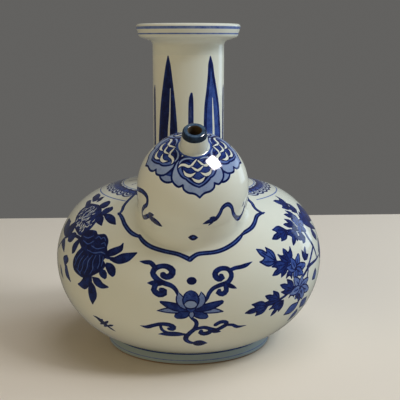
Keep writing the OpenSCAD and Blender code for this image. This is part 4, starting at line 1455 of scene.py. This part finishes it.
floor_mesh = bpy.data.meshes.new("floor")
floor_corners = [(x, y, 0) for y in (-FLOOR_REACH, FLOOR_BACK) for x in (-FLOOR_REACH, FLOOR_REACH)]
floor_mesh.from_pydata(floor_corners, [], [(0, 1, 3, 2)])
floor = bpy.data.objects.new("floor", floor_mesh)
bpy.context.scene.collection.objects.link(floor)
paper = bpy.data.materials.new("matt_paper")
paper.use_nodes = True
paper_shader = paper.node_tree.nodes["Principled BSDF"]
paper_shader.inputs["Base Color"].default_value = linear(FLOOR)
paper_shader.inputs["Roughness"].default_value = 0.9
floor_mesh.materials.append(paper)
floor.visible_glossy = False


def soft_lamp(name, place, size, power, colour, shine, aim=VESSEL_MIDDLE):
    """A square soft box that faces the vessel, and is mirrored in the glaze or kept out of it."""
    lamp = bpy.data.objects.new(name, bpy.data.lights.new(name, "AREA"))
    lamp.data.size = size
    lamp.data.energy = power
    lamp.data.color = linear(colour)[:3]
    lamp.visible_glossy = shine
    lamp.location = place
    lamp.rotation_euler = (Vector(place) - Vector(aim)).to_track_quat("Z", "Y").to_euler()
    bpy.context.scene.collection.objects.link(lamp)
    return lamp


soft_lamp("window", (1.27, 0.78, 0.35), 0.6, 1.6, "#CFE6FF", True)
soft_lamp("daylight", (1.3, 0.3, 0.7), 1.0, 10.0, "#DCF0FF", False)
soft_lamp("panel", (0.85, -0.48, 1.18), 0.34, 8.0, "#F2F8FF", False)
glint = soft_lamp("glint", GLINT_PLACE, 0.036, 0.016, "#FFF6F2", True, GLINT_AIM)
glint.data.spread = GLINT_SPREAD
glint.visible_diffuse = False
glint.visible_camera = False
soft_lamp("fill", (-1.0, -1.0, 0.6), 1.2, 5.3, "#FFE6B0", False)
soft_lamp("top", (0.3, -0.1, 1.35), 1.0, 6.5, "#FFFFFF", False)
world = bpy.data.worlds.new("soft_room")
world.use_nodes = True
sky = world.node_tree.nodes["Background"]
sky.inputs["Color"].default_value = linear(ROOM_LIGHT)
sky.inputs["Strength"].default_value = 0.18
bpy.context.scene.world = world
bpy.context.scene.view_settings.view_transform = "Standard"

camera = bpy.data.objects.new("camera", bpy.data.cameras.new("camera"))
bpy.context.scene.collection.objects.link(camera)
camera.data.lens = LENS
camera.data.sensor_width = SENSOR
camera.location = Vector(CAMERA) * MM
heading = math.atan2(-CAMERA[0], -CAMERA[1]) + math.radians(YAW_RIGHT)
camera.rotation_euler = (math.radians(90 - PITCH), 0, -heading)
bpy.context.scene.camera = camera
